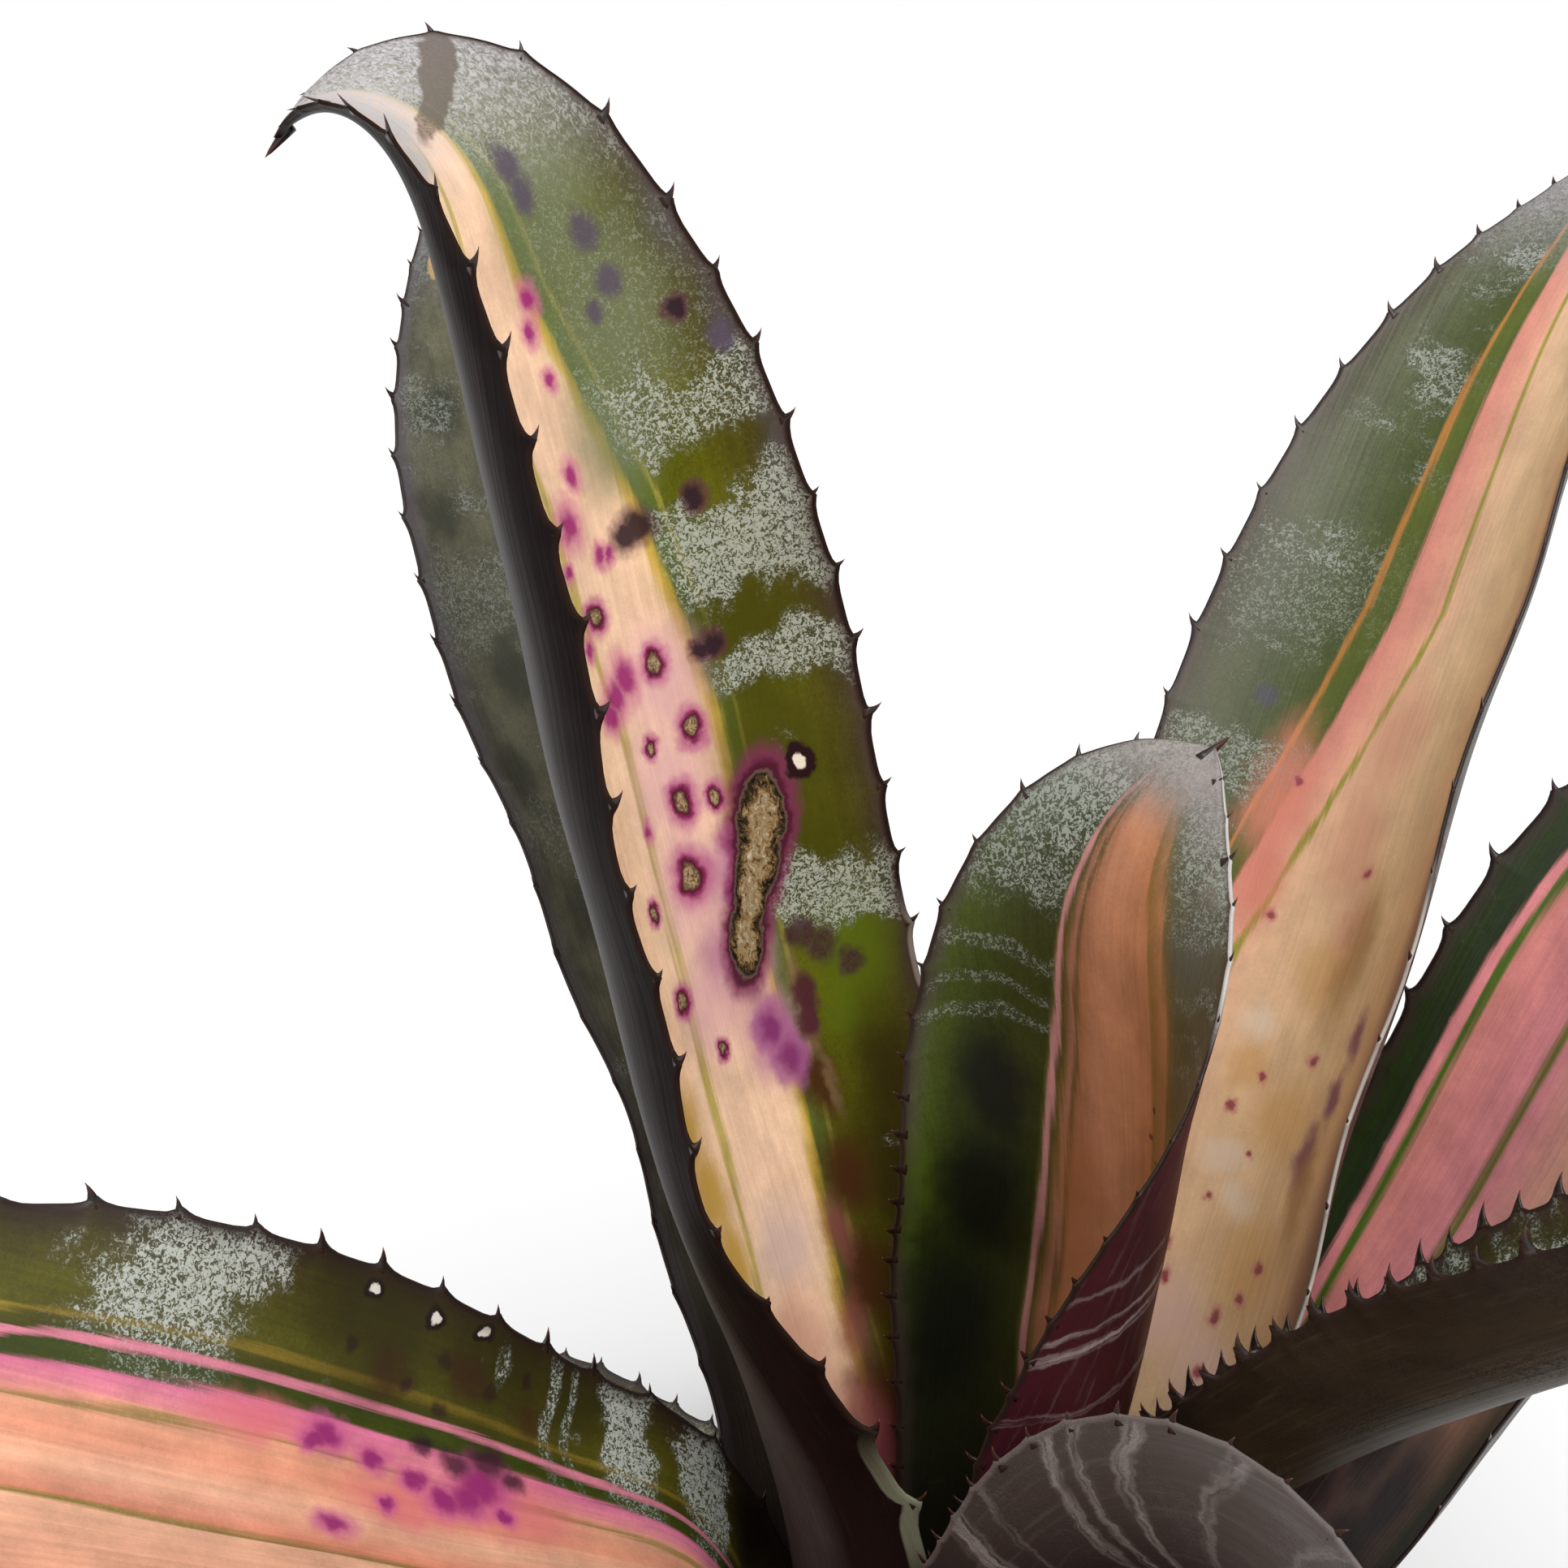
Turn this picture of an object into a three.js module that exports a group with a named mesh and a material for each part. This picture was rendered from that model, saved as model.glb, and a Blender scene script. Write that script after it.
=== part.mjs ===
// A tank bromeliad: fourteen spiny strap leaves in a rosette on a short woody stem.
//
// Millimetres, +Z up. The origin is the centre of the stem's flat cut face, which rests on the
// surface z = 0. Azimuth is counted from +X towards +Y; the viewer of the photograph looks along +Y.
//
// Every leaf is one closed blade with its marginal spines on it. Its lower part is a sheath: a
// sector of a bowl round the stem. The bowls are nested one inside the next, youngest innermost,
// so the sheaths hold a cup of water. Above its neck the leaf leaves its bowl as a channelled
// blade, which leans out, may swing and twist, and curls over at the tip.
import * as THREE from "three";

const RAD = Math.PI / 180;

// Stem: a cone with a flat cut foot and a rounded top inside the youngest sheath.
const STEM_FOOT_RADIUS = 12;
const STEM_TAPER = 3 / 45;
const STEM_SHOULDER_HEIGHT = 36;
const STEM_TOP_HEIGHT = 43;
const STEM_TOP_RADIUS = 5.5;
const STEM_TOP_ROUNDING = 1.5;
const STEM_SIDES = 24;

// Sheath bowls: in section a straight flare off the stem, an arc about one shared centre, and a
// vertical wall. Each bowl is SHELL_PITCH outside the one before it.
const SHELL_PITCH = 2;
const BOWL_CENTRE_RADIUS = 11;
const BOWL_CENTRE_HEIGHT = 42;
const FIRST_BOWL_RADIUS = 7.5;
const BOWL_FLARE = 62 * RAD;
const FOOT_GAP = 1.2;
const SHEATH_MAX_HALF_WIDTH = 46;

// The neck, where a sheath turns into a blade: lengths along the midrib before and after the neck
// height over which the lean, the width, the cross section and the thickness change.
const NECK_LEAN = [18, 30];
const NECK_WIDTH = [40, 25];
const NECK_SECTION = [22, 22];
const NECK_THICKNESS = [0, 40];

// Leaf substance.
const SHEATH_THICKNESS = 0.85;
const BLADE_THICKNESS = 1.2;
const MARGIN_THICKNESS = 0.7;
const MARGIN_FROM = 0.76;
const MARGIN_FULL = 0.95;

// Marginal spines, with a shallow hollow in the margin between one spine and the next.
const SPINE_PITCH = 10.6;
const SPINE_PITCH_AT_TIP = 7;
const SPINE_LENGTH = 2.3;
const SPINE_BASE = 1.9;
const SPINE_HOOK = 1.2;
const SCALLOP_DEPTH = 0.8;
const TIP_SPINE_LENGTH = 3;
const FIRST_SPINE_BELOW_NECK = 14;
const LAST_SPINE_TO_TIP = 6;

// Mesh steps: columns across the leaf, and the longest and most curved step along it.
const COLUMNS = [-0.75, -0.5, -0.25, 0, 0.25, 0.5, 0.75];
const LONGEST_STEP = 21;
const LONGEST_ARC_STEP = 12;
const MOST_TURN = 15 * RAD;
const SHORTEST_STEP = 4;
const LAST_ROW_TO_TIP = 5;
const RIB_STEPS = 400;

// What most of the leaves share. The blade bends on from the share bend of its length, and curl
// says how suddenly. widest is where it is broadest, neckShare how broad it is at the neck, and
// taper how bluntly it closes. swing turns its heading and twist its face, from neck to tip.
// wrap is how far the sheath reaches round the stem, to each side.
const ORDINARY_LEAF = {
  bend: 0.55,
  curl: 1.6,
  widest: 0.45,
  neckShare: 0.85,
  taper: 2.6,
  swing: 0,
  twist: 0,
  wrap: 100,
};

// One row per leaf, youngest first. shell is the bowl that its sheath lies on, neck the height
// where the blade leaves the bowl, and lean the angle from vertical at the neck, in the middle
// and at the tip. channel is the radius of the cross section near the neck and at the tip.
// Angles in degrees, lengths in millimetres.
const LEAVES = [
  {
    ...ORDINARY_LEAF,
    name: "heart_leaf",
    color: 0x4f5f22,
    shell: 1,
    azimuth: 9.5,
    neck: 86,
    lean: [11.5, -10.5, 66.5],
    bend: 0.67,
    curl: 1.5,
    length: 112,
    halfWidth: 38,
    widest: 0.25,
    neckShare: 0.93,
    taper: 2.3,
    swing: 15,
    twist: -26,
    channel: [20.7, 40],
    wrap: 97,
  },
  {
    ...ORDINARY_LEAF,
    name: "tall_left_leaf",
    color: 0x55602a,
    shell: 2,
    azimuth: 156,
    neck: 77.7,
    lean: [17, 13.2, 150],
    bend: 0.82,
    curl: 1.9,
    length: 218.5,
    halfWidth: 43.5,
    widest: 0.38,
    neckShare: 0.97,
    taper: 3.3,
    swing: 18,
    twist: 20,
    channel: [40.5, 24.8],
    wrap: 102,
  },
  {
    ...ORDINARY_LEAF,
    name: "right_front_leaf",
    color: 0x3f3a26,
    shell: 3,
    azimuth: -43.7,
    neck: 82,
    lean: [45, 57.7, 92],
    length: 180,
    halfWidth: 33,
    swing: -10.7,
    twist: 6,
    channel: [29.2, 32],
  },
  {
    ...ORDINARY_LEAF,
    name: "front_fold_leaf",
    color: 0x4a4746,
    shell: 4,
    azimuth: -60.7,
    neck: 79.5,
    lean: [37.4, 85.6, 129.2],
    bend: 0.45,
    curl: 1.18,
    length: 100.3,
    halfWidth: 25.9,
    taper: 2.2,
    swing: -22.9,
    twist: 87.3,
    channel: [56.2, 62.4],
  },
  {
    ...ORDINARY_LEAF,
    name: "left_arching_leaf",
    color: 0x4d5220,
    shell: 5,
    azimuth: 219,
    neck: 74,
    lean: [61.5, 62.7, 80.4],
    bend: 0.64,
    length: 160,
    halfWidth: 39.1,
    swing: -21.7,
    twist: 29.8,
    channel: [29.5, 55.2],
    wrap: 90,
  },
  {
    ...ORDINARY_LEAF,
    name: "back_left_leaf",
    color: 0x46492f,
    shell: 6,
    azimuth: 120.5,
    neck: 68.7,
    lean: [32, 32, 2.5],
    length: 219.5,
    halfWidth: 27.2,
    swing: 26,
    twist: 31.3,
    channel: [25.4, 33.4],
    wrap: 93,
  },
  {
    ...ORDINARY_LEAF,
    name: "front_leaf",
    color: 0x4b5327,
    shell: 7,
    azimuth: 262,
    neck: 58.7,
    lean: [62, 82, 102],
    length: 180,
    halfWidth: 37,
    channel: [30, 38],
  },
  {
    ...ORDINARY_LEAF,
    name: "right_back_leaf",
    color: 0x54603a,
    shell: 8,
    azimuth: 38.8,
    neck: 66.5,
    lean: [24.4, 25.8, 50],
    length: 238,
    halfWidth: 34.7,
    swing: 0.9,
    twist: 8.7,
    channel: [31, 35],
    wrap: 93,
  },
  {
    ...ORDINARY_LEAF,
    name: "right_leaf",
    color: 0x4f5a2c,
    shell: 9,
    azimuth: 3,
    neck: 52,
    lean: [32.5, 25.5, 85],
    length: 193.5,
    halfWidth: 34.5,
    swing: 9.2,
    twist: -14.2,
    channel: [44.5, 32.1],
  },
  {
    ...ORDINARY_LEAF,
    name: "low_left_leaf",
    color: 0x4a5026,
    shell: 10,
    azimuth: 184,
    neck: 53.3,
    lean: [75.5, 96, 100],
    length: 185,
    halfWidth: 37,
    channel: [30, 40],
  },
  {
    ...ORDINARY_LEAF,
    name: "low_right_leaf",
    color: 0x4a4d28,
    shell: 11,
    azimuth: 316,
    neck: 50,
    lean: [83, 129.7, 125],
    length: 175,
    halfWidth: 36,
    channel: [30, 44],
  },
  {
    ...ORDINARY_LEAF,
    name: "low_back_leaf",
    color: 0x484c2a,
    shell: 12,
    azimuth: 88,
    neck: 48,
    lean: [84, 127.4, 122],
    length: 178,
    halfWidth: 36,
    channel: [34, 50],
  },
  {
    ...ORDINARY_LEAF,
    name: "low_front_leaf",
    color: 0x4c4f2b,
    shell: 13,
    azimuth: 234,
    neck: 45,
    lean: [82, 127.8, 124],
    length: 170,
    halfWidth: 36,
    channel: [32, 46],
  },
  {
    ...ORDINARY_LEAF,
    name: "low_back_left_leaf",
    color: 0x47482c,
    shell: 14,
    azimuth: 134,
    neck: 41.6,
    lean: [90, 108, 98],
    length: 160,
    halfWidth: 31,
    channel: [70, 70],
  },
];

function smooth(x, a, b) {
  const t = Math.min(Math.max((x - a) / (b - a), 0), 1);
  return t * t * (3 - 2 * t);
}

function mix(a, b, t) {
  return a + (b - a) * t;
}

function stemRadius(z) {
  return STEM_FOOT_RADIUS - STEM_TAPER * z;
}

// The middle surface of one leaf, as a function of s, the length from its foot along its midrib,
// and u, which is -1 and 1 at its two margins.
class LeafSurface {
  constructor(leaf) {
    this.leaf = leaf;
    this.bowl = FIRST_BOWL_RADIUS + SHELL_PITCH * (leaf.shell - 1);
    this.wall = BOWL_CENTRE_RADIUS + this.bowl;
    const arcFootRadius = BOWL_CENTRE_RADIUS + this.bowl * Math.cos(BOWL_FLARE);
    const arcFootHeight = BOWL_CENTRE_HEIGHT - this.bowl * Math.sin(BOWL_FLARE);
    const outward = Math.sin(BOWL_FLARE);
    const upward = Math.cos(BOWL_FLARE);
    this.flareEnd =
      (arcFootRadius - stemRadius(arcFootHeight) - FOOT_GAP) / (outward + STEM_TAPER * upward);
    this.arcEnd = this.flareEnd + this.bowl * BOWL_FLARE;
    this.neckAt = this.arcEnd + leaf.neck - BOWL_CENTRE_HEIGHT;
    this.length = this.neckAt + leaf.length;
    this.step = this.length / RIB_STEPS;
    this.rib = [
      new THREE.Vector3(arcFootRadius - outward * this.flareEnd, 0, 0).applyAxisAngle(
        new THREE.Vector3(0, 0, 1),
        leaf.azimuth * RAD,
      ),
    ];
    this.rib[0].z = arcFootHeight - upward * this.flareEnd;
    for (let i = 1; i <= RIB_STEPS; i += 1) {
      const a = this.tangent((i - 1) * this.step);
      const b = this.tangent(i * this.step);
      this.rib.push(this.rib[i - 1].clone().addScaledVector(a.add(b), this.step / 2));
    }
  }

  // Share of the blade's length at s, 0 at the neck and 1 at the tip.
  along(s) {
    return Math.min(Math.max((s - this.neckAt) / this.leaf.length, 0), 1);
  }

  // 0 before the neck and 1 after it, changing over the two lengths of span.
  pastNeck(s, span) {
    return smooth(s, this.neckAt - span[0], this.neckAt + span[1]);
  }

  lean(s) {
    const { lean, bend, curl } = this.leaf;
    const t = this.along(s);
    let angle = 0;
    if (s < this.flareEnd) {
      angle = BOWL_FLARE;
    } else if (s < this.arcEnd) {
      angle = (this.arcEnd - s) / this.bowl;
    }
    angle += lean[0] * RAD * this.pastNeck(s, NECK_LEAN);
    angle += (lean[1] - lean[0]) * RAD * smooth(t, 0.05, 0.75);
    const past = Math.min(Math.max((t - bend) / (1 - bend), 0), 1);
    return angle + (lean[2] - lean[1]) * RAD * past ** curl;
  }

  heading(s) {
    return (this.leaf.azimuth + this.leaf.swing * this.along(s) ** 1.3) * RAD;
  }

  tangent(s) {
    const lean = this.lean(s);
    const heading = this.heading(s);
    return new THREE.Vector3(
      Math.sin(lean) * Math.cos(heading),
      Math.sin(lean) * Math.sin(heading),
      Math.cos(lean),
    );
  }

  ribPoint(s) {
    const at = Math.min(Math.max(s / this.step, 0), RIB_STEPS - 1e-6);
    const i = Math.floor(at);
    return this.rib[i].clone().lerp(this.rib[i + 1], at - i);
  }

  halfWidth(s) {
    const { wrap, halfWidth, widest, neckShare, taper } = this.leaf;
    const rib = this.ribPoint(s);
    const radius = Math.min(Math.hypot(rib.x, rib.y), this.wall);
    const sheath = Math.min(wrap * RAD * radius, SHEATH_MAX_HALF_WIDTH);
    const t = this.along(s);
    const closing = Math.min(Math.max((t - widest) / (1 - widest), 0), 1) ** taper;
    const blade =
      halfWidth * mix(neckShare, 1, smooth(t, 0, widest)) * Math.max(1 - closing, 1e-6) ** 0.8;
    return mix(sheath, blade, this.pastNeck(s, NECK_WIDTH));
  }

  point(s, u) {
    const { azimuth, twist, channel } = this.leaf;
    const t = this.along(s);
    const lean = this.lean(s);
    const heading = this.heading(s);
    const turn = twist * RAD * smooth(t, 0, 1);
    const rib = this.ribPoint(s);
    const width = this.halfWidth(s) * u;
    const inward = new THREE.Vector3(
      -Math.cos(lean) * Math.cos(heading),
      -Math.cos(lean) * Math.sin(heading),
      Math.sin(lean),
    );
    const across = new THREE.Vector3(-Math.sin(heading), Math.cos(heading), 0);
    const face = inward.clone().multiplyScalar(Math.cos(turn));
    face.addScaledVector(across, Math.sin(turn));
    const side = across.multiplyScalar(Math.cos(turn));
    side.addScaledVector(inward, -Math.sin(turn));
    let curve = mix(1 / this.wall, 1 / channel[0], smooth(t, 0, 0.3));
    curve = mix(curve, 1 / channel[1], smooth(t, 0.3, 1));
    const blade = rib.clone();
    blade.addScaledVector(side, Math.sin(curve * width) / curve);
    blade.addScaledVector(face, (1 - Math.cos(curve * width)) / curve);
    const radius = Math.hypot(rib.x, rib.y);
    const round = azimuth * RAD + width / Math.max(radius, 1);
    const sheath = new THREE.Vector3(radius * Math.cos(round), radius * Math.sin(round), rib.z);
    return sheath.lerp(blade, this.pastNeck(s, NECK_SECTION));
  }

  // Unit normal towards the inner face of the leaf.
  normal(s, u) {
    const reach = 0.02 * Math.sign(u || 1);
    const alongLeaf = this.point(Math.min(s + 0.4, this.length), u).sub(
      this.point(Math.max(s - 0.4, 0), u),
    );
    const acrossLeaf = this.point(s, u).sub(this.point(s, u - reach));
    return alongLeaf.cross(acrossLeaf).multiplyScalar(Math.sign(u || 1)).normalize();
  }

  // Places along s of the interior rows: the ends of the bowl's flare and arc, and then steps
  // that are short where the leaf bends.
  rows() {
    const rows = [0];
    const arcSteps = Math.ceil((this.bowl * BOWL_FLARE) / LONGEST_ARC_STEP);
    for (let i = 0; i <= arcSteps; i += 1) {
      rows.push(mix(this.flareEnd, this.arcEnd, i / arcSteps));
    }
    const last = this.length - LAST_ROW_TO_TIP;
    let from = this.arcEnd;
    for (let s = this.arcEnd + SHORTEST_STEP; s < last; s += 1) {
      const turned = Math.abs(this.lean(s) - this.lean(from));
      if (s - from > LONGEST_STEP || turned > MOST_TURN) {
        rows.push(s);
        from = s;
      }
    }
    if (last - from > SHORTEST_STEP) {
      rows.push(last);
    }
    return rows;
  }

  // Places along s of the spines of one margin, closer together towards the tip.
  spines(offset) {
    const places = [];
    let s = this.neckAt - FIRST_SPINE_BELOW_NECK + offset;
    while (s < this.length - LAST_SPINE_TO_TIP) {
      places.push(s);
      s += mix(SPINE_PITCH, SPINE_PITCH_AT_TIP, smooth(this.along(s), 0.6, 1));
    }
    return places;
  }
}

// One leaf as a closed mesh: inner face, outer face and the margin that joins them. Each vertex
// is a pair, one on each face, apart from the points of the spines, which both faces share.
function leafGeometry(leaf) {
  const surface = new LeafSurface(leaf);
  const vertices = [];
  const triangles = [];

  function addVertex(point) {
    vertices.push(point.x, point.y, point.z);
    return vertices.length / 3 - 1;
  }

  function pair(s, u) {
    const blade = mix(SHEATH_THICKNESS, BLADE_THICKNESS, surface.pastNeck(s, NECK_THICKNESS));
    const edge = smooth(Math.abs(u), MARGIN_FROM, MARGIN_FULL);
    const thickness = mix(blade, MARGIN_THICKNESS, edge);
    const middle = surface.point(s, u);
    const offset = surface.normal(s, u).multiplyScalar(thickness / 2);
    const inner = addVertex(middle.clone().add(offset));
    const outer = addVertex(middle.clone().sub(offset));
    return { s, inner, outer };
  }

  function shared(s, point) {
    const vertex = addVertex(point);
    return { s, inner: vertex, outer: vertex };
  }

  function face(a, b, c) {
    triangles.push([a.inner, b.inner, c.inner], [a.outer, c.outer, b.outer]);
  }

  function rim(a, b) {
    triangles.push([a.inner, b.inner, b.outer], [a.inner, b.outer, a.outer]);
  }

  const rows = surface.rows();
  const grid = rows.map((s) => COLUMNS.map((u) => pair(s, u)));
  const end = surface.length;
  const tip = shared(end, surface.point(end, 0).addScaledVector(surface.tangent(end), TIP_SPINE_LENGTH));
  const lastRow = grid[grid.length - 1];
  for (let j = 0; j < COLUMNS.length - 1; j += 1) {
    for (let i = 0; i < grid.length - 1; i += 1) {
      face(grid[i][j], grid[i + 1][j], grid[i + 1][j + 1]);
      face(grid[i][j], grid[i + 1][j + 1], grid[i][j + 1]);
    }
    face(lastRow[j], tip, lastRow[j + 1]);
    rim(grid[0][j], grid[0][j + 1]);
  }

  for (const side of [-1, 1]) {
    const chain = [];
    const points = [];
    const spines = surface.spines(side > 0 ? 0 : SPINE_PITCH / 2);
    for (const s of rows) {
      if (s < spines[0] - SPINE_BASE) {
        chain.push(pair(s, side));
      }
    }
    spines.forEach((s, k) => {
      const width = surface.halfWidth(s);
      const size = Math.min(1, 0.45 + width / 30);
      const half = (SPINE_BASE * size) / 2;
      const before = pair(s - half, side);
      const after = pair(s + half, side);
      const reach = side * (1 + (SPINE_LENGTH * size) / width);
      const point = shared(s, surface.point(s + SPINE_HOOK * size, reach));
      chain.push(before, after);
      points.push([before, point, after]);
      if (k < spines.length - 1) {
        const hollow = (s + spines[k + 1]) / 2;
        const depth = SCALLOP_DEPTH * size;
        chain.push(pair(hollow, side * (1 - depth / surface.halfWidth(hollow))));
      }
    });
    chain.push(tip);

    const inside = grid.map((row) => (side > 0 ? row[COLUMNS.length - 1] : row[0]));
    inside.push(tip);
    let i = 0;
    let k = 0;
    while (i < inside.length - 1 || k < chain.length - 1) {
      const stepInside =
        k === chain.length - 1 || (i < inside.length - 1 && inside[i + 1].s < chain[k + 1].s);
      const next = stepInside ? inside[i + 1] : chain[k + 1];
      if (next !== tip || (inside[i] !== tip && chain[k] !== tip)) {
        if (side > 0) {
          face(inside[i], next, chain[k]);
        } else {
          face(chain[k], next, inside[i]);
        }
      }
      i += stepInside ? 1 : 0;
      k += stepInside ? 0 : 1;
    }

    for (const [before, point, after] of points) {
      if (side > 0) {
        face(before, after, point);
      } else {
        face(before, point, after);
      }
    }
    const outline = [];
    chain.forEach((vertex) => {
      outline.push(vertex);
      const spine = points.find((entry) => entry[0] === vertex);
      if (spine) {
        outline.push(spine[1]);
      }
    });
    for (let n = 0; n < outline.length - 1; n += 1) {
      if (side > 0) {
        rim(outline[n], outline[n + 1]);
      } else {
        rim(outline[n + 1], outline[n]);
      }
    }
    if (side > 0) {
      rim(inside[0], chain[0]);
    } else {
      rim(chain[0], inside[0]);
    }
  }

  const geometry = new THREE.BufferGeometry();
  geometry.setAttribute("position", new THREE.Float32BufferAttribute(vertices, 3));
  const kept = triangles.filter(([a, b, c]) => a !== b && b !== c && c !== a);
  geometry.setIndex(kept.flat());
  geometry.computeVertexNormals();
  return geometry;
}

function stemGeometry() {
  const profile = [
    [0, 0],
    [STEM_FOOT_RADIUS, 0],
    [stemRadius(STEM_SHOULDER_HEIGHT), STEM_SHOULDER_HEIGHT],
    [STEM_TOP_RADIUS, STEM_TOP_HEIGHT - STEM_TOP_ROUNDING],
    [0, STEM_TOP_HEIGHT],
  ];
  const points = profile.map(([radius, height]) => new THREE.Vector2(radius, height));
  const geometry = new THREE.LatheGeometry(points, STEM_SIDES);
  geometry.rotateX(Math.PI / 2);
  return geometry;
}

const plant = new THREE.Group();

const stem = new THREE.Mesh(
  stemGeometry(),
  new THREE.MeshStandardMaterial({ color: 0x6b5a45, roughness: 0.85, metalness: 0 }),
);
stem.name = "stem";
plant.add(stem);

for (const leaf of LEAVES) {
  const mesh = new THREE.Mesh(
    leafGeometry(leaf),
    new THREE.MeshStandardMaterial({ color: leaf.color, roughness: 0.5, metalness: 0 }),
  );
  mesh.name = leaf.name;
  plant.add(mesh);
}

export default plant;
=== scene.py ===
import math

import bpy
import numpy as np
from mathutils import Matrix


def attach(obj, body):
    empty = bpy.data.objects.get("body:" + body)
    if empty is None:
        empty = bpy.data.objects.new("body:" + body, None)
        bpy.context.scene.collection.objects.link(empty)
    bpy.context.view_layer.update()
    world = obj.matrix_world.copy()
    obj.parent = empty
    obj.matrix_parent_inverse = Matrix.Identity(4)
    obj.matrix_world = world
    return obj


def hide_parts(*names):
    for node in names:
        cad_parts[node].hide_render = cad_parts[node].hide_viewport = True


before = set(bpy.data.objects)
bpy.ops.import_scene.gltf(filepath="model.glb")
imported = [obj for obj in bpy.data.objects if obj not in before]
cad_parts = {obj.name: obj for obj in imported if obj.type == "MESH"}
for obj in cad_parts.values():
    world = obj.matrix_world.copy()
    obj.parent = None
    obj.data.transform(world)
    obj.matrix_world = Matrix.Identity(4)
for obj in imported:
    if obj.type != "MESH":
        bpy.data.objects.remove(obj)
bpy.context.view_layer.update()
studio = bpy.context.scene


# The camera is a close portrait of the heart of the rosette, from a little above its middle.
# The picture cuts the outer leaves off, as the photograph does.
VIEW_CENTRE = (-0.023, 0.0, 0.190)
VIEW_DISTANCE = 0.265
VIEW_ELEVATION = math.radians(14)
VIEW_ANGLE = math.radians(40)
SENSOR_SIDE = 36
camera = bpy.data.objects.new("camera", bpy.data.cameras.new("camera"))
studio.collection.objects.link(camera)
studio.camera = camera
camera.location = (
    VIEW_CENTRE[0],
    VIEW_CENTRE[1] - VIEW_DISTANCE * math.cos(VIEW_ELEVATION),
    VIEW_CENTRE[2] + VIEW_DISTANCE * math.sin(VIEW_ELEVATION),
)
camera.rotation_euler = (math.pi / 2 - VIEW_ELEVATION, 0, 0)
camera.data.sensor_width = SENSOR_SIDE
camera.data.sensor_height = SENSOR_SIDE
camera.data.lens = SENSOR_SIDE / 2 / math.tan(VIEW_ANGLE / 2)
camera.data.clip_start = 0.005
camera.data.dof.use_dof = False


# The stem is the short woody stump that the plant was picked with. It is wrapped in the torn
# brown fibres of old leaf bases, so the eye gets dull upright strands with paler gaps.
def linear(colour):
    """An sRGB hex colour as the linear red, green, blue and alpha that a shader takes."""
    parts = [int(colour[i:i + 2], 16) / 255 for i in (1, 3, 5)]
    return [c / 12.92 if c <= 0.04045 else ((c + 0.055) / 1.055) ** 2.4 for c in parts] + [1]


def add(tree, kind, links=None, out=0, **settings):
    """Adds a shader node with its settings and links, and returns one of its outputs."""
    node = tree.nodes.new("ShaderNode" + kind)
    for key, value in settings.items():
        setattr(node, key, value)
    for socket, value in (links or {}).items():
        if isinstance(value, bpy.types.NodeSocket):
            tree.links.new(value, node.inputs[socket])
        else:
            node.inputs[socket].default_value = value
    return node.outputs[out] if len(node.outputs) else node


def new_material(name):
    """An empty node material, ready to be given a surface."""
    material = bpy.data.materials.new(name)
    material.use_nodes = True
    material.node_tree.nodes.clear()
    return material, material.node_tree


def drawn_out(tree, place, pace, detail, rough, distortion=0):
    """Cloudy grain that is longer one way: pace says how fast it changes each way."""
    paced = add(tree, "VectorMath", {0: place, 1: pace}, operation="MULTIPLY")
    grain = {"Vector": paced, "Scale": 1, "Detail": detail, "Roughness": rough, "Distortion": distortion}
    return add(tree, "TexNoise", grain, out="Fac")


def laid_on(tree, ground, layers):
    """Lays colours on a ground one after another, each as far as its mask says."""
    for mask, colour in layers:
        tint = linear(colour) if isinstance(colour, str) else colour
        ground = add(tree, "Mix", {0: mask, 6: ground, 7: tint}, out=2, data_type="RGBA")
    return ground


MM = 1000
FIBRES_ROUND = 1.3 * MM
FIBRES_UP = 0.12 * MM
stump_bark, tree = new_material("stump_fibre")
where = add(tree, "NewGeometry", out="Position")
strand = drawn_out(tree, where, (FIBRES_ROUND, FIBRES_ROUND, FIBRES_UP), 4, 0.6)
blotch = add(tree, "TexNoise", {"Vector": where, "Scale": 0.09 * MM, "Detail": 3}, out="Fac")
fibre = laid_on(tree, linear("#2a1c13"), [(strand, "#8b6b49"), (blotch, "#5d4a38")])
ridges = add(tree, "Bump", {"Height": strand, "Strength": 1.0, "Distance": 0.6 / MM})
bark = add(tree, "BsdfPrincipled", {"Base Color": fibre, "Roughness": 0.85, "Normal": ridges})
add(tree, "OutputMaterial", {"Surface": bark})
stump = bpy.data.objects["stem"]
stump.data.materials.clear()
stump.data.materials.append(stump_bark)


# The heart leaf is the young, cupped leaf in the middle. Like every leaf it is a thick leathery
# strap with hooked spines, that rises from a clasping sheath and widens past a neck.
# Its size is given in millimetres and degrees, along the midrib and across it.
DEGREE = math.pi / 180
STUMP_FOOT_RADIUS = 12.0
STUMP_TAPER = 3 / 45
SHEATH_PITCH = 2.0
BOWL_CENTRE_RADIUS = 11.0
BOWL_CENTRE_HEIGHT = 42.0
FIRST_BOWL_RADIUS = 7.5
BOWL_FLARE = 62 * DEGREE
FOOT_GAP = 1.2
SHEATH_MAX_HALF_WIDTH = 46.0
ORDINARY_LEAF = dict(bend=0.55, curl=1.6, widest=0.45, neck_share=0.85, taper=2.6, swing=0, twist=0,
                     wrap=100)

# How far before and past the neck the sheath's form goes over into the blade's.
LEANS_OVER = (-18, 30)
NARROWS_OVER = (-40, 25)
UNROLLS_OVER = (-22, 22)

# Shares of the blade's length, and the powers of the curves along it.
MIDDLE_LEAN = (0.05, 0.75)
FIRST_CHANNEL_AT = 0.3
SWING_POWER = 1.3
TIP_BLUNTNESS = 0.8


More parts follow.
